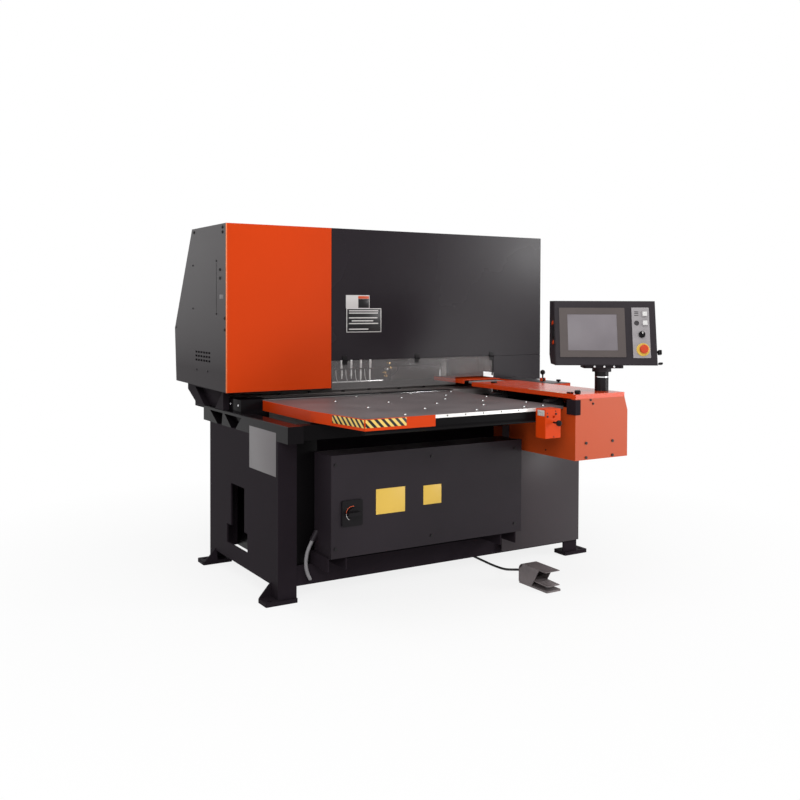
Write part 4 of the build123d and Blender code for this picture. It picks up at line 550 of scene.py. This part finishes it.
brass = surface("brass", (0.75, 0.48, 0.20), 0.25, metal=0.7, drift=0.15, drift_size=40)
union_outline = ((0, 0), (0.007, 0), (0.007, 0.006), (0.005, 0.007), (0.005, 0.013), (0.0062, 0.014),
                 (0.0062, 0.019), (0.004, 0.021), (0, 0.021))
union_places = ((0.132, 0.926), (0.146, 0.958), (0.154, 0.934), (0.120, 0.908), (0.128, 0.889))
shield_face = 0.339
for number, (union_x, union_z) in enumerate(union_places, start=1):
    turned(f"oil_union_{number}", outline=union_outline, place=(union_x, shield_face, union_z),
           out=(0, -1, 0), finish=bright_steel if number == 1 else brass,
           body="head")
hose_route = ((0.154, 0.321, 0.958), (0.176, 0.312, 0.966), (0.196, 0.312, 0.944), (0.192, 0.314, 0.914),
              (0.168, 0.318, 0.893), (0.140, 0.320, 0.889), (0.128, 0.320, 0.889))
tube_piece("oil_hose", route=hose_route, radius=0.002, finish=black_rubber_and_shade,
           body="head")

# Table plate and ball units: worn ground steel plate on the frame, with polished transfer balls
# pressed into it, so that a sheet glides over it.
table_steel = surface("table_steel", (0.15, 0.13, 0.133), 0.42, metal=0.2, drift=0.2, drift_size=7,
                      grain=0.25, grain_size=500)
dress(table_steel, "table_plate")
ball_steel = surface("ball_steel", (0.42, 0.42, 0.42), 0.15, metal=1.0, drift=0.05)
dress(ball_steel, "ball_units")
# Painted highlight: a thin polished strip along the table's rear edge stands in for the bright line
# there.
block("table_edge_highlight", low=(-0.698, 0.0680, 0.8185), high=(0.372, 0.0780, 0.8212), edge=0.0006,
      finish=ball_steel)

# Front strip: bright planed steel strip along the table's front edge, held by a row of small dark
# socket screws.
strip_steel = surface("strip_steel", (0.74, 0.72, 0.70), 0.35, metal=0.5, drift=0.08, drift_size=10,
                      grain=0.08, grain_size=600, stretch=(0.1, 1, 1))
dress(strip_steel, "front_strip")
strip_face = -0.832
strip_screw_z = 0.813
strip_screw_x = (-0.257, -0.165, -0.072, 0.023, 0.117)
heads("strip_screws", places=[(x, strip_face, strip_screw_z) for x in strip_screw_x], out=(0, -1, 0),
      radius=0.003, height=0.0012, finish=black_steel)

# Table frame: steel bars welded into a frame under the plate, with a rounded nose along the front,
# coated in gloss black.
dress(near_black_and_shade, "table_underframe")


# Table rail: folded orange strip round the table's left and front, with black and yellow hazard tape
# on both sides of its front corner.
def side_seat(corner, along):
    """Seat on an upright face: along it, up it and out of it, from a corner."""
    onward = Vector((*along, 0)).normalized()
    up = Vector((0, 0, 1))
    out = onward.cross(up)
    return Matrix.Translation(corner) @ Matrix((onward, up, out)).transposed().to_4x4()


def hazard_tape(name, along, pitch):
    """Yellow tape with slanting black bars along a direction."""
    finish = surface(name, (0.8, 0.56, 0.14), 0.4, drift=0.06, drift_size=20)
    knots = finish.node_tree.nodes
    wires = finish.node_tree.links
    place = knots.new("ShaderNodeTexCoord")
    way = knots.new("ShaderNodeVectorMath")
    way.operation = "DOT_PRODUCT"
    way.inputs[1].default_value = (along[0], along[1], 1.0)
    wires.new(place.outputs["Object"], way.inputs[0])
    count = knots.new("ShaderNodeMath")
    count.operation = "DIVIDE"
    count.inputs[1].default_value = pitch
    wires.new(way.outputs["Value"], count.inputs[0])
    part = knots.new("ShaderNodeMath")
    part.operation = "FRACT"
    wires.new(count.outputs[0], part.inputs[0])
    bar = knots.new("ShaderNodeMath")
    bar.operation = "GREATER_THAN"
    bar.inputs[1].default_value = 0.5
    wires.new(part.outputs[0], bar.inputs[0])
    ink = knots.new("ShaderNodeMixRGB")
    ink.inputs["Color2"].default_value = (0.012, 0.011, 0.011, 1)
    wires.new(bar.outputs[0], ink.inputs["Fac"])
    wires.new(knots["shades"].outputs["Color"], ink.inputs["Color1"])
    wires.new(ink.outputs["Color"], knots["Principled BSDF"].inputs["Base Color"])
    return finish


dress(orange_coat, "table_rail")
rail_corner = (-0.650, -0.832, 0)
taper_way = Vector((0.051, -0.383)).normalized()
stripe_pitch = 0.032
tape_low = 0.784
tape_high = 0.8165
tape_thick = 0.0004
block("front_tape", low=(0.004, tape_low, 0), high=(0.194, tape_high, tape_thick), edge=0.0001,
      finish=hazard_tape("front_tape", (1, 0), stripe_pitch),
      seat=side_seat(rail_corner, (1, 0)))
block("taper_tape", low=(-0.223, tape_low, 0), high=(-0.004, tape_high, tape_thick), edge=0.0001,
      finish=hazard_tape("taper_tape", taper_way, stripe_pitch),
      seat=side_seat(rail_corner, taper_way))

# Gauge box: orange coated block on the table's front edge, on black screws, with a black ball knob to
# pull and a plain pale tag.
gauge_face = -0.895
gauge_pale = surface("gauge_pale", (0.5, 0.48, 0.46), 0.4, drift=0.3, drift_size=120)
dress(orange_coat, "gauge_box")
dress(moulded_black, "gauge_knob")
gauge_small_places = ((0.226, 0.801), (0.272, 0.808), (0.262, 0.696))
heads("gauge_small_screws", places=[(x, gauge_face, z) for x, z in gauge_small_places], out=(0, -1, 0),
      radius=0.0026, height=0.0015, finish=black_steel)
gauge_large_places = ((0.226, 0.786), (0.274, 0.796))
heads("gauge_screws", places=[(x, gauge_face, z) for x, z in gauge_large_places], out=(0, -1, 0),
      radius=0.0045, height=0.003, finish=black_steel)
block("gauge_tag", low=(0.2144, -0.888, 0.788), high=(0.215, -0.842, 0.813), edge=0.0002,
      finish=gauge_pale)

# Y axis cover: folded sheet in orange powder coat round the black base of the axis, held by black
# screws at the front and on the left; its orange is a darker, glossier copy of the coat, the darker
# base a painted shade.
axis_face = -0.901
axis_side = 0.382
dress(black_coat, "y_base")
# Painted shade: a darker copy of the orange coat for the axis cover.
shaded_axis_orange = surface("shaded_axis_orange", (0.475, 0.060, 0.008), 0.45, specular=0.36, drift=0.04,
                      drift_size=1.2)
dress(shaded_axis_orange, "y_housing")
dress(black_steel, "cover_screws")
axis_front_places = ((0.470, 0.848), (0.485, 0.831))
heads("axis_front_screws", places=[(x, axis_face, z) for x, z in axis_front_places], out=(0, -1, 0),
      radius=0.005, height=0.003, finish=black_steel)
axis_side_places = ((-0.700, 0.664), (-0.700, 0.604))
heads("axis_side_screws", places=[(axis_side, y, z) for y, z in axis_side_places], out=(-1, 0, 0),
      radius=0.004, height=0.002, finish=black_steel)

# Top plates: orange trays screwed down over the Y axis, with a pale scale, a black clip and a black
# stop block on the front one, a black wall in the slot and a dark bar that joins the two trays.
top_orange = surface("top_orange", (0.66, 0.054, 0.005), 0.24, specular=0.3, drift=0.06, drift_size=1.5,
                     grain=0.1)
dress(top_orange, "y_top_plates")
scale_pale = surface("scale_pale", (0.62, 0.55, 0.4), 0.4, drift=0.5, drift_size=70,
                     stretch=(0.02, 1, 0.02))
tray_top = 0.875
scale_thick = 0.0006
clip_height = 0.008
stop_cap_height = 0.0086
block("axis_scale", low=(0.3855, -0.832, tray_top), high=(0.3975, -0.560, tray_top + scale_thick),
      edge=0.0002, finish=scale_pale)
block("axis_clip", low=(0.441, -0.210, tray_top), high=(0.471, -0.194, tray_top + clip_height),
      edge=0.002, finish=moulded_black)
block("stop_block_cap", low=(0.3866, -0.8614, tray_top),
      high=(0.4054, -0.8346, tray_top + stop_cap_height), edge=0.002,
      finish=moulded_black)
block("slot_wall", low=(0.6680, -0.4200, 0.790), high=(0.6740, -0.2000, 0.8530), edge=0.001,
      finish=black_coat)
block("tray_bar", low=(0.470, -0.112, 0.856), high=(0.655, 0.040, 0.868), edge=0.0015,
      finish=anvil_steel)

# Bracket, clamps and stop knob: black bent bracket at the slot's front end, dark steel clamp jaws on
# their carriage, and a moulded black knob.
dress(moulded_black, "stop_knob")
dress(black_coat, "slot_bracket")
dark_steel = surface("dark_steel", (0.05, 0.045, 0.048), 0.4, metal=0.4, drift=0.15, drift_size=20)
dress(dark_steel, "clamp_carriage", "clamp_jaw_1", "clamp_jaw_2")

# Side shelf: orange tray on two legs over the right beam, with a black ribbed mat, a ball lever and a
# small black knob.
dress(orange_coat, "shelf")
dress(moulded_black, "shelf_lever")
mat_rubber = surface("mat_rubber", (0.02, 0.018, 0.02), 0.35, grain=0.4, grain_size=300,
                     stretch=(1, 0.05, 1))
block("shelf_mat", low=(0.708, -0.337, 0.869), high=(0.849, 0.092, 0.8712), edge=0.0008,
      finish=mat_rubber)
knob_outline = ((0, 0), (0.006, 0), (0.006, 0.004), (0.012, 0.005), (0.012, 0.012), (0.010, 0.014),
                (0, 0.014))
turned("shelf_knob", outline=knob_outline, place=(0.820, -0.277, 0.871), out=(0, 0, 1),
       finish=moulded_black)

# Pendant post: black enamelled steel tube that stands on the axis base, through the front tray, and
# carries the pendant's swivel, with a bright turned ring set in its groove.
post_axis = (0.640, -0.790)
post_enamel = surface("post_enamel", (0.010, 0.008, 0.010), 0.25, specular=0.16, grain=0.04)
dress(post_enamel, "pendant_post")
polished_steel = surface("polished_steel", (0.8, 0.8, 0.81), 0.08, metal=1.0, drift=0.05)
ring_outline = ((0.0304, 0.937), (0.0319, 0.937), (0.0319, 0.942), (0.0304, 0.942), (0.0304, 0.937))
turned("post_ring", outline=ring_outline, place=(*post_axis, 0), out=(0, 0, 1),
       finish=polished_steel)

# Pendant case: fine textured black housing with a leaning front panel, bolted to a swivel flange by
# bright screws, with two orange ports and a black cover on its left side and two hooks on its right.
pendant_coat = surface("pendant_coat", (0.026, 0.021, 0.025), 0.45, specular=0.15, grain=0.25,
                       grain_size=900)
dress(pendant_coat, "pendant_case", "pendant_front")
face_wide = Vector((0.85446, -0.51952, 0))
face_out = Vector((-0.50799, -0.83549, 0.20953))
face_turn = Matrix((face_wide, face_out.cross(face_wide), face_out)).transposed().to_4x4()
face_seat = Matrix.Translation((0.58389, -0.88228, 0.9984)) @ face_turn
case_left = -0.233
case_right = 0.2440
port_height = 0.016
for number, port_y in enumerate((0.198, 0.106), start=1):
    block(f"side_port_{number}", low=(-0.2365, port_y, -0.062),
          high=(case_left, port_y + port_height, -0.030), edge=0.001,
          finish=orange_coat, body="pendant", seat=face_seat)
block("port_cover", low=(-0.2355, 0.132, -0.068), high=(case_left, 0.190, -0.026), edge=0.001,
      finish=moulded_black, body="pendant", seat=face_seat)
block("upper_hook", low=(case_right, 0.0540, -0.040), high=(0.2600, 0.0760, -0.016), edge=0.003,
      finish=moulded_black, body="pendant", seat=face_seat)
block("lower_hook", low=(case_right, 0.0080, -0.040), high=(0.2620, 0.0180, -0.016), edge=0.003,
      finish=moulded_black, body="pendant", seat=face_seat)
flange_out = Vector((-0.51952, -0.85446, 0))
flange_reach = 0.055
flange_screw_z = 0.9899
flange_screw_gap = 0.045
flange_face = Vector((*post_axis, flange_screw_z)) + flange_reach * flange_out
heads("flange_screws", places=[flange_face + n * flange_screw_gap * face_wide for n in (-1, 0, 1)],
      out=flange_out, radius=0.005, height=0.003, finish=polished_steel,
      body="pendant")

# Screen: brown-grey moulded plastic bezel on the pendant's leaning front, with a matt grey glass
# bonded into it.
bezel_plastic = surface("bezel_plastic", (0.095, 0.078, 0.075), 0.45, specular=0.2, grain=0.1)
grey_glass = surface("grey_glass", (0.21, 0.19, 0.205), 0.35, specular=0.2, drift=0.1, drift_size=5,
                     grain=0.02)
dress(bezel_plastic, "screen")
block("screen_glass", low=(-0.1742, 0.0682, 0.0065), high=(0.0522, 0.2358, 0.0075), edge=0.0003,
      finish=grey_glass, body="pendant", seat=face_seat)

# Key plate: satin grey plate with two white keys, dark label bars, a buzzer's ringed grille, a black
# selector, and the red stop button on its yellow disc.
key_plate_face = 0.006
key_bar_thick = 0.0004
key_bar_height = 0.003
dress(surface("key_plate_grey", (0.32, 0.30, 0.31), 0.4, metal=0.2, drift=0.06), "button_plate")
dress(surface("key_white", (0.70, 0.69, 0.68), 0.3, drift=0.04), "button_1", "button_2")
dress(moulded_black, "selector_knob")
dress(surface("stop_red", (0.6, 0.06, 0.015), 0.28, drift=0.06), "e_stop_cap")
for number, line_y in enumerate((0.2475, 0.2405, 0.2310), start=1):
    block(f"key_label_{number}", low=(0.134, line_y, key_plate_face),
          high=(0.153, line_y + key_bar_height, key_plate_face + key_bar_thick), edge=0.0001,
          finish=moulded_black, body="pendant", seat=face_seat)
block("selector_mark", low=(0.1615, 0.1430, 0.0258), high=(0.1665, 0.1530, 0.0268), edge=0.0003,
      finish=plate_white, body="selector", seat=face_seat)
grille_outline = ((0, 0), (0.0115, 0), (0.0115, 0.0012), (0.0085, 0.0012), (0.0085, 0.0004),
                  (0.0065, 0.0004), (0.0065, 0.0014), (0.0035, 0.0014), (0.0035, 0.0004), (0, 0.0004))
turned("buzzer_grille", outline=grille_outline,
       place=face_seat @ Vector((0.143, 0.196, key_plate_face)), out=face_out,
       finish=dark_steel, body="pendant")
disc_outline = ((0.0116, 0.0051), (0.0116, 0.0057), (0.0286, 0.0057), (0.0296, 0.0048),
                (0.0296, 0.0001), (0.0291, 0.0001), (0.0291, 0.0051), (0.0116, 0.0051))
stop_yellow = surface("stop_yellow", (0.75, 0.50, 0.08), 0.35, drift=0.05)
turned("stop_disc", outline=disc_outline, place=face_seat @ Vector((0.167, 0.072, key_plate_face)),
       out=face_out, finish=stop_yellow, body="pendant")

# Cabinet: folded steel box with a screwed cover in black, standing on the outriggers, with two plain
# yellow plates on its front.
cabinet_face = -0.575
cabinet_coat = surface("cabinet_coat", (0.0180, 0.0138, 0.0176), 0.38, specular=0.13, grain=0.1)
dress(cabinet_coat, "cabinet_box", "cabinet_cover")
plate_yellow = surface("plate_yellow", (0.72, 0.47, 0.08), 0.4, drift=0.06)
yellow_thick = 0.0006
yellow_front = cabinet_face - yellow_thick
block("yellow_plate", low=(-0.450, yellow_front, 0.372), high=(-0.304, cabinet_face, 0.481),
      edge=0.0002, finish=plate_yellow)
block("small_yellow_plate", low=(-0.209, yellow_front, 0.389), high=(-0.114, cabinet_face, 0.474),
      edge=0.0002, finish=plate_yellow)

# Main switch: moulded black plate and handle, with a red and a white arc let into the plate round the
# handle's left side.
switch_centre = (-0.568, -0.5818, 0.393)
arc_radius = 0.030
arc_wire = 0.0018
arc_steps = 8
dress(moulded_black, "switch_plate", "switch_handle")
for arc_name, start, end, arc_slot, arc_finish in (
    ("switch_off_arc", 75, 175, "red_plastic", plate_red),
    ("switch_on_arc", 180, 240, "white_plastic", plate_white),
):
    arc_route = []
    for step in range(arc_steps + 1):
        turn = radians(start + (end - start) * step / arc_steps)
        arc_route.append((switch_centre[0] + arc_radius * cos(turn), switch_centre[1],
                          switch_centre[2] + arc_radius * sin(turn)))
    tube_piece(arc_name, route=arc_route, radius=arc_wire, finish=arc_finish)

# Foot switch: cast guard and pedal in grey-brown enamel, with grip ribs across the pedal; it stands
# loose on the floor at the end of its lead.
switch_enamel = surface("switch_enamel", (0.17, 0.145, 0.148), 0.4, metal=0.2, drift=0.2, drift_size=20,
                        grain=0.3, grain_size=600)
dress(switch_enamel, "foot_base", "foot_pedal")
pedal_back = -0.742
pedal_back_top = 0.0341
pedal_length = 0.122
pedal_drop = 0.005
front_rib = -0.856
rib_pitch = 0.013
rib_width = 0.005
rib_sunk = 0.001
rib_proud = 0.0014
for number in range(5):
    rib_y = front_rib + rib_pitch * number
    rib_z = pedal_back_top + (rib_y - pedal_back) / pedal_length * pedal_drop
    block(f"pedal_rib_{number + 1}", low=(0.262, rib_y, rib_z - rib_sunk),
          high=(0.324, rib_y + rib_width, rib_z + rib_proud), edge=0.0006,
          finish=switch_enamel, body="pedal")
